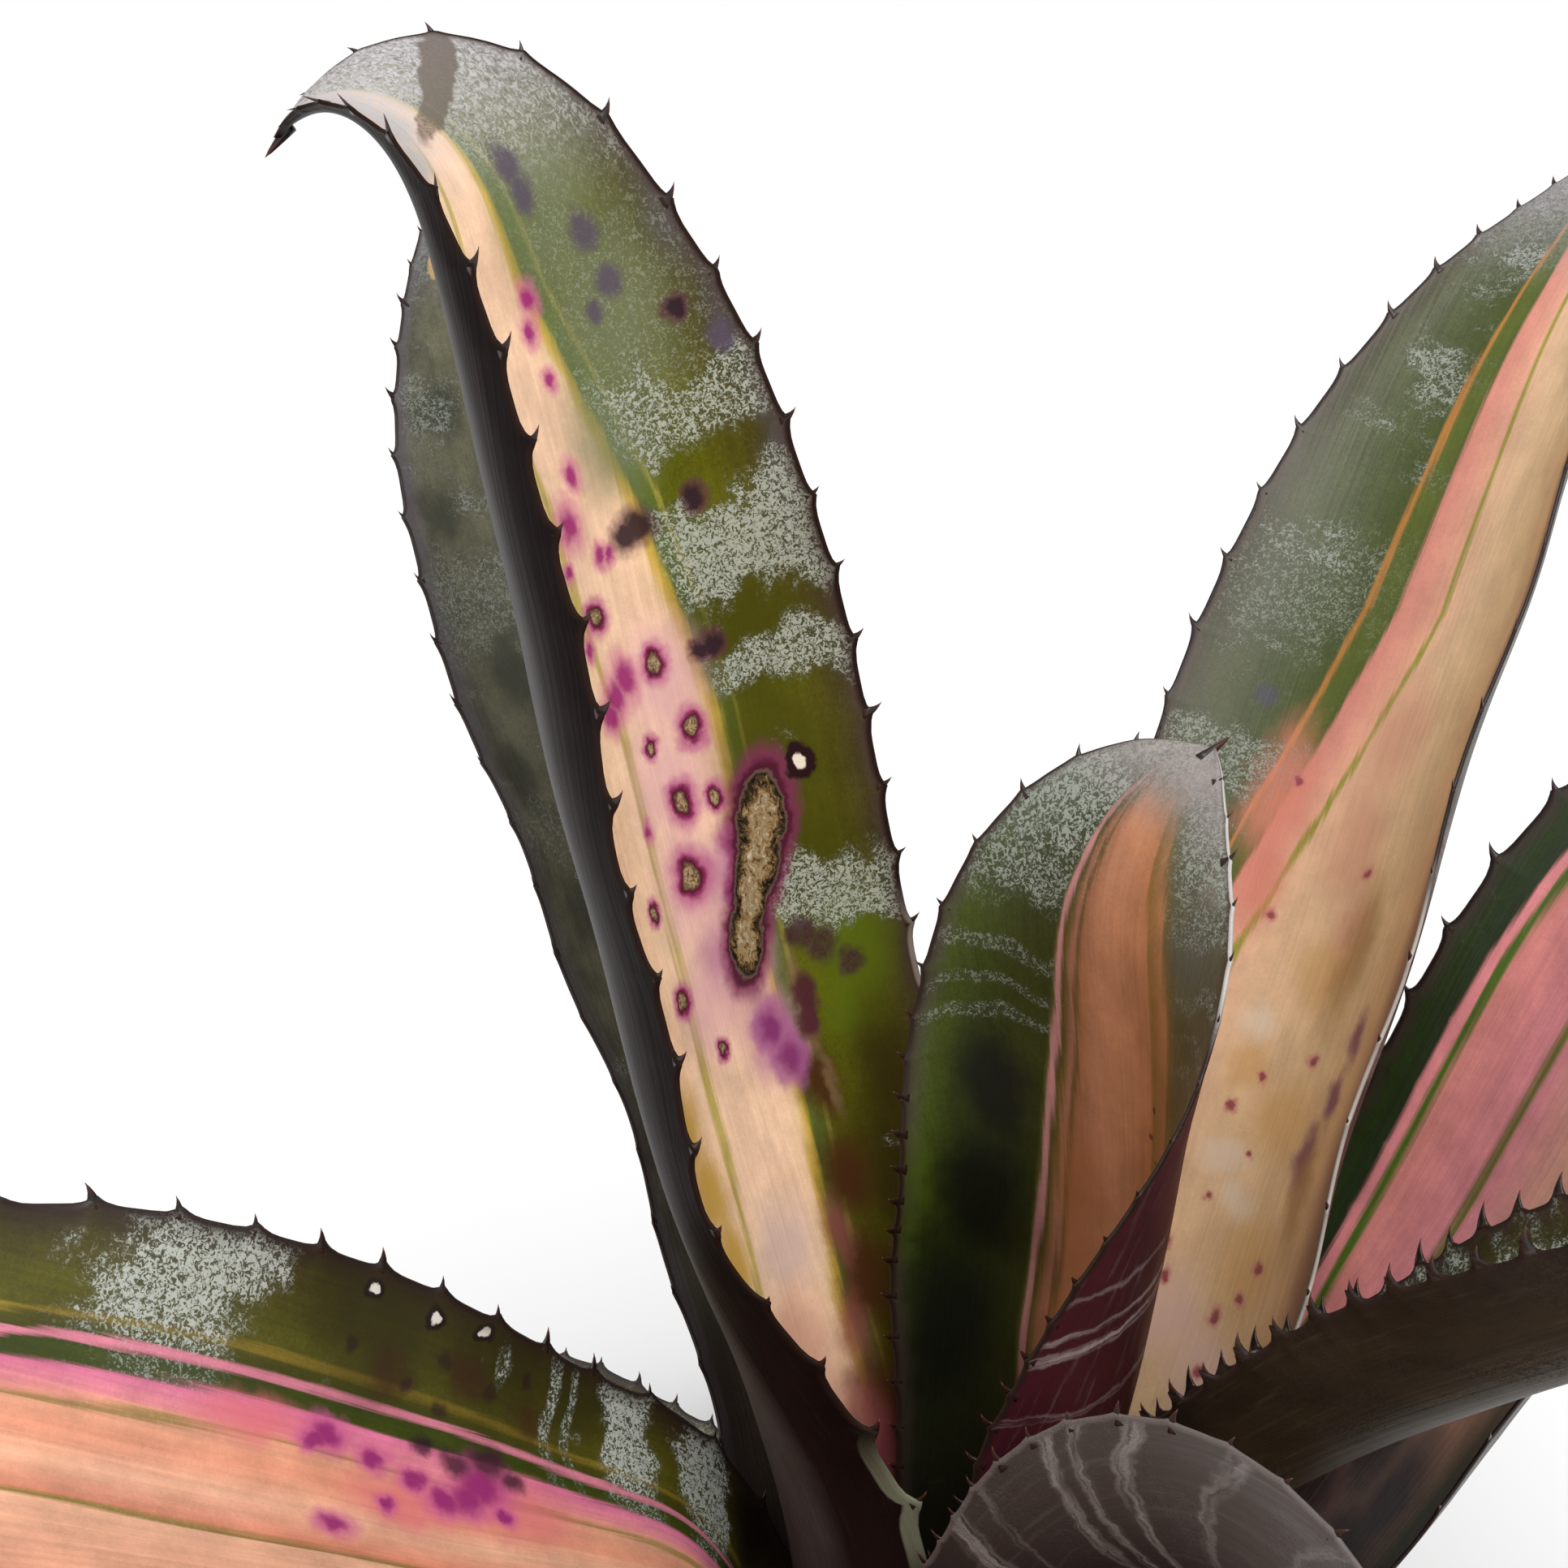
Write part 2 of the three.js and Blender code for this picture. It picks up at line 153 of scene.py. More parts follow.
def ease(x, low, high):
    """0 below low, 1 above high and a smooth rise between them."""
    t = np.clip((x - low) / (high - low), 0, 1)
    return t * t * (3 - 2 * t)


def blend(a, b, share):
    return a + (b - a) * share


def unit(v):
    return v / np.maximum(np.linalg.norm(v, axis=-1, keepdims=True), 1e-9)


class Leaf:
    """One leaf's midrib and its curved face, by the rule that the CAD leaves follow."""

    def __init__(self, **sizes):
        for key, value in (ORDINARY_LEAF | sizes).items():
            setattr(self, key, value)
        self.bowl = FIRST_BOWL_RADIUS + SHEATH_PITCH * (self.shell - 1)
        self.wall = BOWL_CENTRE_RADIUS + self.bowl
        out, up = math.sin(BOWL_FLARE), math.cos(BOWL_FLARE)
        foot_radius = BOWL_CENTRE_RADIUS + self.bowl * up
        foot_height = BOWL_CENTRE_HEIGHT - self.bowl * out
        stump_radius = STUMP_FOOT_RADIUS - STUMP_TAPER * foot_height
        self.flare_end = (foot_radius - stump_radius - FOOT_GAP) / (out + STUMP_TAPER * up)
        self.arc_end = self.flare_end + self.bowl * BOWL_FLARE
        self.neck_at = self.arc_end + self.neck - BOWL_CENTRE_HEIGHT
        self.end = self.neck_at + self.length
        self.steps = np.linspace(0, self.end, 2001)
        tangent = self.tangent(self.steps)
        moves = (tangent[1:] + tangent[:-1]) / 2 * self.steps[1]
        start_radius = foot_radius - out * self.flare_end
        start = np.array([
            start_radius * math.cos(self.azimuth * DEGREE),
            start_radius * math.sin(self.azimuth * DEGREE),
            foot_height - up * self.flare_end,
        ])
        self.rib = np.vstack([start, start + np.cumsum(moves, 0)])

    def along(self, s):
        return np.clip((s - self.neck_at) / self.length, 0, 1)

    def past_neck(self, s, over):
        """0 before a stretch of millimetres round the neck and 1 past it."""
        return ease(s, self.neck_at + over[0], self.neck_at + over[1])

    def lean_at(self, s):
        t = self.along(s)
        neck, middle, tip = np.array(self.lean) * DEGREE
        angle = np.where(s < self.flare_end, BOWL_FLARE, np.clip((self.arc_end - s) / self.bowl, 0, None))
        angle = angle + neck * self.past_neck(s, LEANS_OVER)
        angle = angle + (middle - neck) * ease(t, *MIDDLE_LEAN)
        return angle + (tip - middle) * np.clip((t - self.bend) / (1 - self.bend), 0, 1) ** self.curl

    def heading(self, s):
        return (self.azimuth + self.swing * self.along(s) ** SWING_POWER) * DEGREE

    def tangent(self, s):
        lean, heading = self.lean_at(s), self.heading(s)
        return np.stack([np.sin(lean) * np.cos(heading), np.sin(lean) * np.sin(heading), np.cos(lean)], -1)

    def rib_at(self, s):
        return np.stack([np.interp(s, self.steps, self.rib[:, k]) for k in range(3)], -1)

    def half_width(self, s):
        rib = self.rib_at(s)
        radius = np.minimum(np.hypot(rib[..., 0], rib[..., 1]), self.wall)
        sheath = np.minimum(self.wrap * DEGREE * radius, SHEATH_MAX_HALF_WIDTH)
        t = self.along(s)
        closing = np.clip((t - self.widest) / (1 - self.widest), 0, 1) ** self.taper
        width = self.half * blend(self.neck_share, 1, ease(t, 0, self.widest))
        width = width * np.clip(1 - closing, 1e-6, 1) ** TIP_BLUNTNESS
        return blend(sheath, width, self.past_neck(s, NARROWS_OVER))

    def point(self, s, x):
        """The middle of the leaf's thickness, s along the midrib and x across it."""
        t, lean, heading = self.along(s), self.lean_at(s), self.heading(s)
        turn = self.twist * DEGREE * ease(t, 0, 1)
        rib = self.rib_at(s)
        level = -np.cos(lean)
        inward = np.stack([level * np.cos(heading), level * np.sin(heading), np.sin(lean)], -1)
        across = np.stack([-np.sin(heading), np.cos(heading), 0 * heading], -1)
        cos, sin = np.cos(turn)[..., None], np.sin(turn)[..., None]
        face = inward * cos + across * sin
        side = across * cos - inward * sin
        curve = blend(1 / self.wall, 1 / self.channel[0], ease(t, 0, FIRST_CHANNEL_AT))
        curve = blend(curve, 1 / self.channel[1], ease(t, FIRST_CHANNEL_AT, 1))
        reach = (np.sin(curve * x) / curve)[..., None]
        rise = ((1 - np.cos(curve * x)) / curve)[..., None]
        blade = rib + side * reach + face * rise
        radius = np.hypot(rib[..., 0], rib[..., 1])
        turned = self.azimuth * DEGREE + x / np.maximum(radius, 1)
        sheath = np.stack([radius * np.cos(turned), radius * np.sin(turned), rib[..., 2] + 0 * x], -1)
        return blend(sheath, blade, self.past_neck(s, UNROLLS_OVER)[..., None])


# Spines stand close on the sheath, wide apart up the blade and close again near the tip, where
# they grow smaller. Between two spines the margin is scooped out.
SHEATH_SPINES_START = 34
SHEATH_SPINE_PITCH = 4.6
TIP_SPINE_PITCH = 4.2
TIP_SPINES_AT = 0.72
BARE_TIP = 2.5
SPINES_SPREAD_OVER = (-14, 8)
DEEPEST_GAP = 8


def spine_places(leaf, side, pitch):
    """Where the spines stand along one margin; the two margins take turns."""
    places = []
    s = leaf.neck_at - SHEATH_SPINES_START + (SHEATH_SPINE_PITCH / 2 if side < 0 else 0)
    while s < leaf.end - BARE_TIP:
        places.append(s)
        step = blend(SHEATH_SPINE_PITCH, pitch, float(leaf.past_neck(s, SPINES_SPREAD_OVER)))
        s += blend(step, TIP_SPINE_PITCH, float(ease(leaf.along(s), TIP_SPINES_AT, 1)))
    return np.array(places)


def hollow_arc(places, s):
    """How deep the margin is scooped out, 0 at a spine to 1; it falls away fastest past each spine."""
    k = np.clip(np.searchsorted(places, s) - 1, 0, len(places) - 2)
    f = (s - places[k]) / (places[k + 1] - places[k])
    f = np.where((f < 0) | (f > 1), 0, f)
    gap = np.clip((places[k + 1] - places[k]) / DEEPEST_GAP, 0.3, 1)
    return gap * (1 - np.abs(2 * f ** 0.85 - 1) ** 4)


# The cross sections stand close together where spines need them.
SHEATH_ROWS = 18
ROWS_ROUND_SPINE = [-1.3, -0.6, 0, 0.6, 1.2]
ROWS_PER_MM = 2.5


def cross_sections(leaf, spines, row):
    """Where the leaf's cross sections stand along the midrib."""
    sheath_rows = np.linspace(0, leaf.neck_at - SHEATH_SPINES_START, SHEATH_ROWS)
    blade_rows = np.arange(leaf.neck_at - SHEATH_SPINES_START, leaf.end, row)
    at_spines = spines[:, None] + np.array(ROWS_ROUND_SPINE)
    rows = np.concatenate([sheath_rows, blade_rows, at_spines.ravel(), [leaf.end]])
    return np.unique(np.minimum(np.round(rows * ROWS_PER_MM) / ROWS_PER_MM, leaf.end))


# Thickness in millimetres, and the shares of the half width over which the margin thins and
# its hollows are cut.
SHEATH_THICKNESS = 0.85
BLADE_THICKNESS = 1.2
MARGIN_THICKNESS = 0.5
THICKENS_OVER = (0, 40)
MARGIN_THINS = (0.8, 0.99)
HOLLOWS_CUT = (0.72, 1)
RIM_BULGE = 0.2
DENT_EDGE = (0.6, 1.2)

# The hollows are shallower where the half width is less than this.
FULL_HOLLOWS_FROM = 16


def leaf_layers(leaf, s_rows, columns, left, right, arcs, ripple, dent):
    """The map of the leaf, its middle layer with the normals, and its thickness over all rows."""
    # The columns lie closer together towards the margins.
    v = np.linspace(-1, 1, columns)
    S, U = np.meshgrid(s_rows, 1.3 * v - 0.3 * v ** 3, indexing="ij")
    small = np.clip(leaf.half_width(s_rows) / FULL_HOLLOWS_FROM, 0, 1)
    small = small * leaf.past_neck(s_rows, (-SHEATH_SPINES_START, 0))
    low_edge = arcs[0] * hollow_arc(left, s_rows) * small
    high_edge = arcs[1] * hollow_arc(right, s_rows) * small
    cut = np.where(U < 0, -low_edge[:, None], high_edge[:, None])
    X = U * leaf.half_width(S) - ease(np.abs(U), *HOLLOWS_CUT) * cut
    middle = leaf.point(S, X)
    aside = np.gradient(middle, axis=1)
    normal = unit(np.cross(aside, np.gradient(middle, axis=0)))
    half = len(s_rows) // 2
    heading = leaf.heading(s_rows[half])
    if normal[half, columns // 2] @ np.array([-math.cos(heading), -math.sin(heading), 0.4]) < 0:
        normal = -normal

    # The face is never quite even: slow waves run over it, stronger towards the margins.
    wave = np.sin(S / 9.5 + leaf.azimuth) + 0.7 * np.sin(S / 5.7 + X / 9 + 2 * leaf.azimuth)
    wave = wave + 0.5 * np.sin(X / 4.3 + S / 23)
    edge_wave = np.sin(S / 7.3 + np.where(U < 0, 1.0, 2.7) + leaf.azimuth)
    height = ripple[0] * 0.45 * wave + ripple[1] * edge_wave * np.abs(U) ** 3
    height = leaf.past_neck(S, (5, 45)) * height
    if dent:
        dent_s, dent_x, half_long, half_wide, depth = dent
        apart = np.hypot((S - leaf.neck_at - dent_s) / half_long, (X - dent_x) / half_wide)
        height = height - depth * (1 - ease(apart, *DENT_EDGE))
    middle = middle + normal * height[..., None]

    thick = blend(SHEATH_THICKNESS, BLADE_THICKNESS, leaf.past_neck(S, THICKENS_OVER))
    thick = blend(thick, MARGIN_THICKNESS, ease(np.abs(U), *MARGIN_THINS)) / 2
    thick = thick * blend(0.5, 1, ease(leaf.end - S, 0, 6))
    return U, X, middle, normal, unit(aside), thick[..., None]


def leaf_faces(ring, columns):
    """The faces between the rings of a leaf, and those that close its two ends."""
    rows, around = ring.shape[:2]
    start = np.arange(rows - 1)[:, None] * around + np.arange(around)
    step = np.arange(rows - 1)[:, None] * around + (np.arange(around) + 1) % around
    quads = np.stack([start, start + around, step + around, step], -1).reshape(-1, 4)
    caps = []
    for base, flip in ((0, False), ((rows - 1) * around, True)):
        for c in range(columns - 1):
            a, far = base + 1 + c, base + 2 * columns + 1 - c
            caps.append((far, far - 1, a + 1, a) if flip else (a, a + 1, far - 1, far))
        for cap in ((base, base + 1, base + 2 * columns + 1),
                    (base + columns + 1, base + columns + 2, base + columns)):
            caps.append(cap[::-1] if flip else cap)
    centred = ring.reshape(-1, 3) - ring.reshape(-1, 3).mean(0)
    a, b, c, d = (centred[quads[:, k]] for k in range(4))
    faces = [tuple(face) for face in quads.tolist()] + caps
    inside_out = (a * (np.cross(b, c) + np.cross(c, d))).sum() < 0
    return [face[::-1] for face in faces] if inside_out else faces


# A spine is a hooked fin of horn with a blunt back. Lengths are those of the largest ones.
SPINE_LENGTH = 1.5
SPINE_HOOK = 1.25
SPINE_LIFT = 0.3
SPINE_HALF_BASE = 0.95
SPINE_HALF_THICK = 0.3
SPINE_SUNK = 1.3
SPINE_POINT = 0.04
SPINE_SIDES = 7
SPINE_RINGS = 5
SPINE_VERTS = SPINE_RINGS * SPINE_SIDES + 1
TIP_SPINE_LENGTH = 3.0
TIP_SPINE_RADIUS = 0.85
TIP_SPINE_SUNK = 2.5
RING_SHARES = [k / SPINE_RINGS for k in range(SPINE_RINGS)]
RING_ANGLES = np.arange(SPINE_SIDES) * 2 * np.pi / SPINE_SIDES


def spine_faces(first, flip):
    """The faces of one spine, from its sunk foot to its point."""
    faces = []
    for k in range(SPINE_RINGS - 1):
        for c in range(SPINE_SIDES):
            a, d = first + k * SPINE_SIDES + c, first + k * SPINE_SIDES + (c + 1) % SPINE_SIDES
            faces.append((a, d, d + SPINE_SIDES, a + SPINE_SIDES))
    last = first + (SPINE_RINGS - 1) * SPINE_SIDES
    for c in range(SPINE_SIDES):
        faces.append((last + c, last + (c + 1) % SPINE_SIDES, first + SPINE_RINGS * SPINE_SIDES))
    faces.append(tuple(range(first, first + SPINE_SIDES))[::-1])
    return [face[::-1] for face in faces] if flip else faces


def margin_spine(leaf, side, s, s_rows, middle, normal):
    """A flattened, forward-hooked spine whose foot is sunk in the margin."""
    rows, columns = middle.shape[:2]
    w = float(leaf.half_width(np.array([s]))[0])
    on_blade = blend(0.55, 1, float(leaf.past_neck(s, SPINES_SPREAD_OVER)))
    size = min(1, 0.4 + w / 26) * on_blade * (0.92 + 0.2 * math.sin(3.1 * s + side))
    i = min(max(int(np.searchsorted(s_rows, s)), 1), rows - 2)
    column = 0 if side < 0 else columns - 1
    before, after = middle[i - 1, column], middle[i, column]
    foot = blend(before, after, (s - s_rows[i - 1]) / (s_rows[i] - s_rows[i - 1]))
    inner_column = middle[:, 2 if side < 0 else columns - 3]
    run = unit(inner_column[min(i + 2, rows - 1)] - inner_column[max(i - 3, 0)])
    lift = normal[i, column]
    aside = unit(np.cross(lift, run))
    if aside @ (middle[i, column] - middle[i, columns // 2]) < 0:
        aside = -aside
    cos, sin = np.cos(RING_ANGLES), np.sin(RING_ANGLES)
    verts = []
    for f in RING_SHARES:
        centre = foot + aside * (-SPINE_SUNK + (SPINE_LENGTH * size + SPINE_SUNK) * f)
        centre = centre + run * SPINE_HOOK * size * f ** 2.2 + lift * SPINE_LIFT * size * f ** 2
        wide = SPINE_HALF_BASE * size * (1 - f) ** 1.1 + SPINE_POINT
        thin = SPINE_HALF_THICK * size * (1 - f) + SPINE_POINT
        verts.append(centre + run * (cos * wide)[:, None] + lift * (sin * thin)[:, None])
    tip = foot + aside * SPINE_LENGTH * size + run * SPINE_HOOK * size + lift * SPINE_LIFT * size
    return verts + [tip[None]], np.cross(run, lift) @ aside < 0, [side * w, s - leaf.neck_at]


def tip_spine(leaf, middle, normal):
    """The one stout straight spine that the leaf ends in."""
    centre_column = middle.shape[1] // 2
    run = unit(middle[-1, centre_column] - middle[-6, centre_column])
    lift = normal[-6, centre_column]
    aside = unit(np.cross(run, lift))
    start = leaf.rib_at(np.array([leaf.end]))[0] - run * TIP_SPINE_SUNK
    reach = TIP_SPINE_LENGTH + TIP_SPINE_SUNK
    verts = []
    for f in RING_SHARES:
        radius = TIP_SPINE_RADIUS * (1 - f) ** 0.8 + 0.05
        loop = (aside * np.cos(RING_ANGLES)[:, None] + lift * np.sin(RING_ANGLES)[:, None]) * radius
        verts.append(start + run * reach * f + loop)
    return verts + [(start + run * reach)[None]], True, [0, leaf.length]


# The baked picture has the leaf unrolled on top, and one small cell for each spine face below.
CELLS_IN_ROW = 320
CELL_HEIGHT = 0.006
LEAF_BAKE_FROM = 0.08
LEAF_BAKE_HEIGHT = 0.91


def bake_places(around, columns, faces, of_spines, share):
    """Unrolls the closed ring of a leaf, the inner face left and the outer face right."""
    across = np.linspace(0.01, 0.49, columns)
    x = np.concatenate([[0], across, [0.5], 0.5 + across, [1]])
    y = LEAF_BAKE_FROM + LEAF_BAKE_HEIGHT * share
    placed = []
    for face in faces:
        ring_c = [index % around for index in face]
        wraps = 0 in ring_c and around - 1 in ring_c
        for index, c in zip(face, ring_c):
            placed.append((x[around] if wraps and c == 0 else x[c], y[index // around]))
    for k, face in enumerate(of_spines):
        cell_x, cell_y = (k % CELLS_IN_ROW) / CELLS_IN_ROW, (k // CELLS_IN_ROW) * CELL_HEIGHT
        for c in range(len(face)):
            turn = 2 * math.pi * c / len(face)
            placed.append((cell_x + (0.4 + 0.36 * math.cos(turn)) / CELLS_IN_ROW,
                           cell_y + 0.005 * (0.5 + 0.45 * math.sin(turn))))
    return np.array(placed, np.float32)


def grow_leaf(name, skin, sizes, arcs=(1.3, 1.3), pitch=10.6, seam=((0, 0), (1, 0)), row=1.25,
              columns=41, ripple=(0.4, 0.6), dent=None):
    """Builds a leaf as one closed mesh with its spines, and lets it stand for its CAD node."""
    leaf = Leaf(**sizes)
    left, right = spine_places(leaf, -1, pitch), spine_places(leaf, 1, pitch)
    s_rows = cross_sections(leaf, np.concatenate([left, right]), row)
    layers = leaf_layers(leaf, s_rows, columns, left, right, arcs, ripple, dent)
    U, X, middle, normal, outward, thick = layers
    inner, outer = middle + normal * thick, middle - normal * thick
    rim_low = middle[:, :1] - outward[:, :1] * RIM_BULGE
    rim_high = middle[:, -1:] + outward[:, -1:] * RIM_BULGE
    ring = np.concatenate([rim_low, inner, rim_high, outer[:, ::-1]], 1)
    rows, around = ring.shape[:2]
    edge, flat = np.ones((rows, 1)), np.ones_like(U)
    verts = [ring.reshape(-1, 3)]
    across = [np.concatenate([-edge, U, edge, U[:, ::-1]], 1).ravel()]
    inside = [np.concatenate([edge * 0.5, flat, edge * 0.5, flat * 0], 1).ravel()]
    x_mm = np.concatenate([X[:, :1], X, X[:, -1:], X[:, ::-1]], 1)
    place = [np.stack([x_mm.ravel(), np.repeat(s_rows - leaf.neck_at, around)], -1)]
    horn = [np.zeros(rows * around)]
    faces = leaf_faces(ring, columns)

    spines = [(side, margin_spine(leaf, side, s, s_rows, middle, normal), 0.2)
              for side, places in ((-1, left), (1, right)) for s in places]
    of_spines = []
    for side, (spine, flip, at), horny_from in spines + [(0, tip_spine(leaf, middle, normal), 0.4)]:
        of_spines += spine_faces(sum(len(part) for part in verts), flip)
        verts.append(np.concatenate(spine))
        levels = [horny_from + (1 - horny_from) * f for f in RING_SHARES]
        horn.append(np.append(np.repeat(levels, SPINE_SIDES), 1))
        across.append(np.full(SPINE_VERTS, float(side)))
        inside.append(np.full(SPINE_VERTS, 0.5))
        place.append(np.tile(at, (SPINE_VERTS, 1)))

    mesh = bpy.data.meshes.new(name)
    mesh.from_pydata((np.concatenate(verts) / MM).tolist(), [], faces + of_spines)
    mesh.polygons.foreach_set("use_smooth", np.ones(len(mesh.polygons), bool))
    mesh.polygons.foreach_set("material_index", np.repeat([0, 1], [len(faces), len(of_spines)]))
    mesh.materials.append(skin)
    mesh.materials.append(spine_horn)
    across, horn, place, inside = (np.concatenate(part) for part in (across, horn, place, inside))
    share = np.clip(place[:, 1] / leaf.length, -0.3, 1)
    seam_at = np.interp(share, [t for t, _ in seam], [u for _, u in seam])
    band = (across - seam_at) / np.where(across > seam_at, 1 - seam_at, 1 + seam_at)
    for label, values in dict(across=across, inside=inside, horn=horn, band=band, along=share).items():
        mesh.attributes.new(label, "FLOAT", "POINT").data.foreach_set("value", values.astype(np.float32))
    corners = np.zeros(len(mesh.loops), int)
    mesh.loops.foreach_get("vertex_index", corners)
    baked = bake_places(around, columns, faces, of_spines, s_rows / leaf.end)
    for label, spots_at in (("leaf_mm", place[corners].astype(np.float32)), ("OFBake", baked)):
        mesh.uv_layers.new(name=label).data.foreach_set("uv", spots_at.ravel())
    mesh.update()
    piece = bpy.data.objects.new(name + "_blade", mesh)
    studio.collection.objects.link(piece)
    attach(piece, "root")
    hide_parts(name)


def fill_ramp(ramp, stops, position=lambda level: level):
    """Sets a colour ramp's stops; a stop may carry how much wool holds on its stripe."""
    for k, stop in enumerate(stops):
        element = ramp.elements[k] if k < 2 else ramp.elements.new(position(stop[0]))
        element.position = position(stop[0])
        element.color = linear(stop[1])[:3] + [stop[2] if len(stop) > 2 else 1.0]


# Horn is hard and a little glossy: dark brown at the foot, black above it and red at the point.
spine_horn, tree = new_material("spine_horn")
horny = add(tree, "Attribute", out="Fac", attribute_name="horn")
grown = add(tree, "ValToRGB", {"Fac": horny})
fill_ramp(grown.node.color_ramp, [(0.2, "#33231d"), (1.0, "#4a2018"), (0.55, "#170d0c")])
shine = add(tree, "BsdfPrincipled", {"Base Color": grown, "Roughness": 0.35})
add(tree, "OutputMaterial", {"Surface": shine})


def spots(places, rings, stretch=1.0, turn=0.0):
    """Marks of one kind: their middles and radii in millimetres, and their rings of colour.

    A ring is its colour, where it starts and is full as a share of the radius, its strength and
    how grainy it is. The marks are longer than wide by stretch, and lean by turn degrees."""
    return places, [ring if len(ring) == 5 else (*ring, 0.0) for ring in rings], stretch, turn


def stain_or_shade(colour, places, strength=0.7, stretch=1.0):
    """A broad soft patch of colour under the wool: a stain, and on the heart leaf and the right leaf also
    patches of painted shade.
    """
    return spots(places, [(colour, 1.45, 0.25, strength)], stretch)


def wounds(places, stretch=1.0):
    """Healed bites on pale skin: a soft purple halo, a dark rim and a dry brown middle."""
    halo = [("#b85088", 2.4, 1.1, 0.8), ("#7a1b4a", 1.4, 0.95, 0.9)]
    scar = [("#4a1a22", 0.98, 0.8, 0.8), ("#5e4636", 0.8, 0.65, 0.9), ("#b39a74", 0.75, 0.4, 1.0, 0.9)]
    return spots(places, halo + scar, stretch)


def mark_field(tree, place, places, stretch, turn):
    """The distance to the nearest mark's middle, as a share of that mark's radius."""
    angle = turn * DEGREE
    leaning = place
    if turn:
        leaning = add(tree, "VectorRotate", {"Vector": place, "Angle": angle}, rotation_type="Z_AXIS")
    scaled = add(tree, "VectorMath", {0: leaning, 1: (1, 1 / stretch, 0)}, operation="MULTIPLY")
    nearest = None
    cos, sin = math.cos(angle), math.sin(angle)
    for x, s, radius in places:
        middle = (x * cos - s * sin, (x * sin + s * cos) / stretch, 0)
        apart = add(tree, "VectorMath", {0: scaled, 1: middle}, out="Value", operation="DISTANCE")
        share = add(tree, "Math", {0: apart, 1: radius}, operation="DIVIDE")
        if nearest is not None:
            share = add(tree, "Math", {0: nearest, 1: share, 2: 0.3}, operation="SMOOTH_MIN")
        nearest = share
    return nearest


# How fast each pattern changes across the leaf and along it, a millimetre. The wobbles have one
# pace, and how many millimetres they reach.
VEIN_PACE = (0.95, 0.014, 0)
DRIFT_PACE = (0.05, 0.016, 0)
BLOTCH_PACE = (0.16, 0.11, 0)
WOOL_PATCH_PACE = (0.05, 0.075, 0)
SMEAR_PACE = (0.8, 0.07, 0)
DRIP_PACE = (3.0, 1.3, 0)
CRUMB_PACE = (1.5, 0.9, 0)
TUFTS_PER_MM = 1.7
MARK_WOBBLE = (0.3, (3.2, 3.2, 0))
STAIN_OR_SHADE_WOBBLE = (0.07, (6, 10, 0))

# Dead tissue coloured by its height, from its cracks, nearly black, to its driest flakes, palest on top;
# the dark cracks are partly painted shade and the pale tops partly painted highlight.
CRUST_AND_RELIEF_SHADE_STOPS = [(0.3, "#17130e"), (0.4, "#3c3122"), (0.47, "#6f5736"), (0.54, "#a2855a"), (0.6, "#8d7f66"),
               (0.7, "#d2c6a6")]


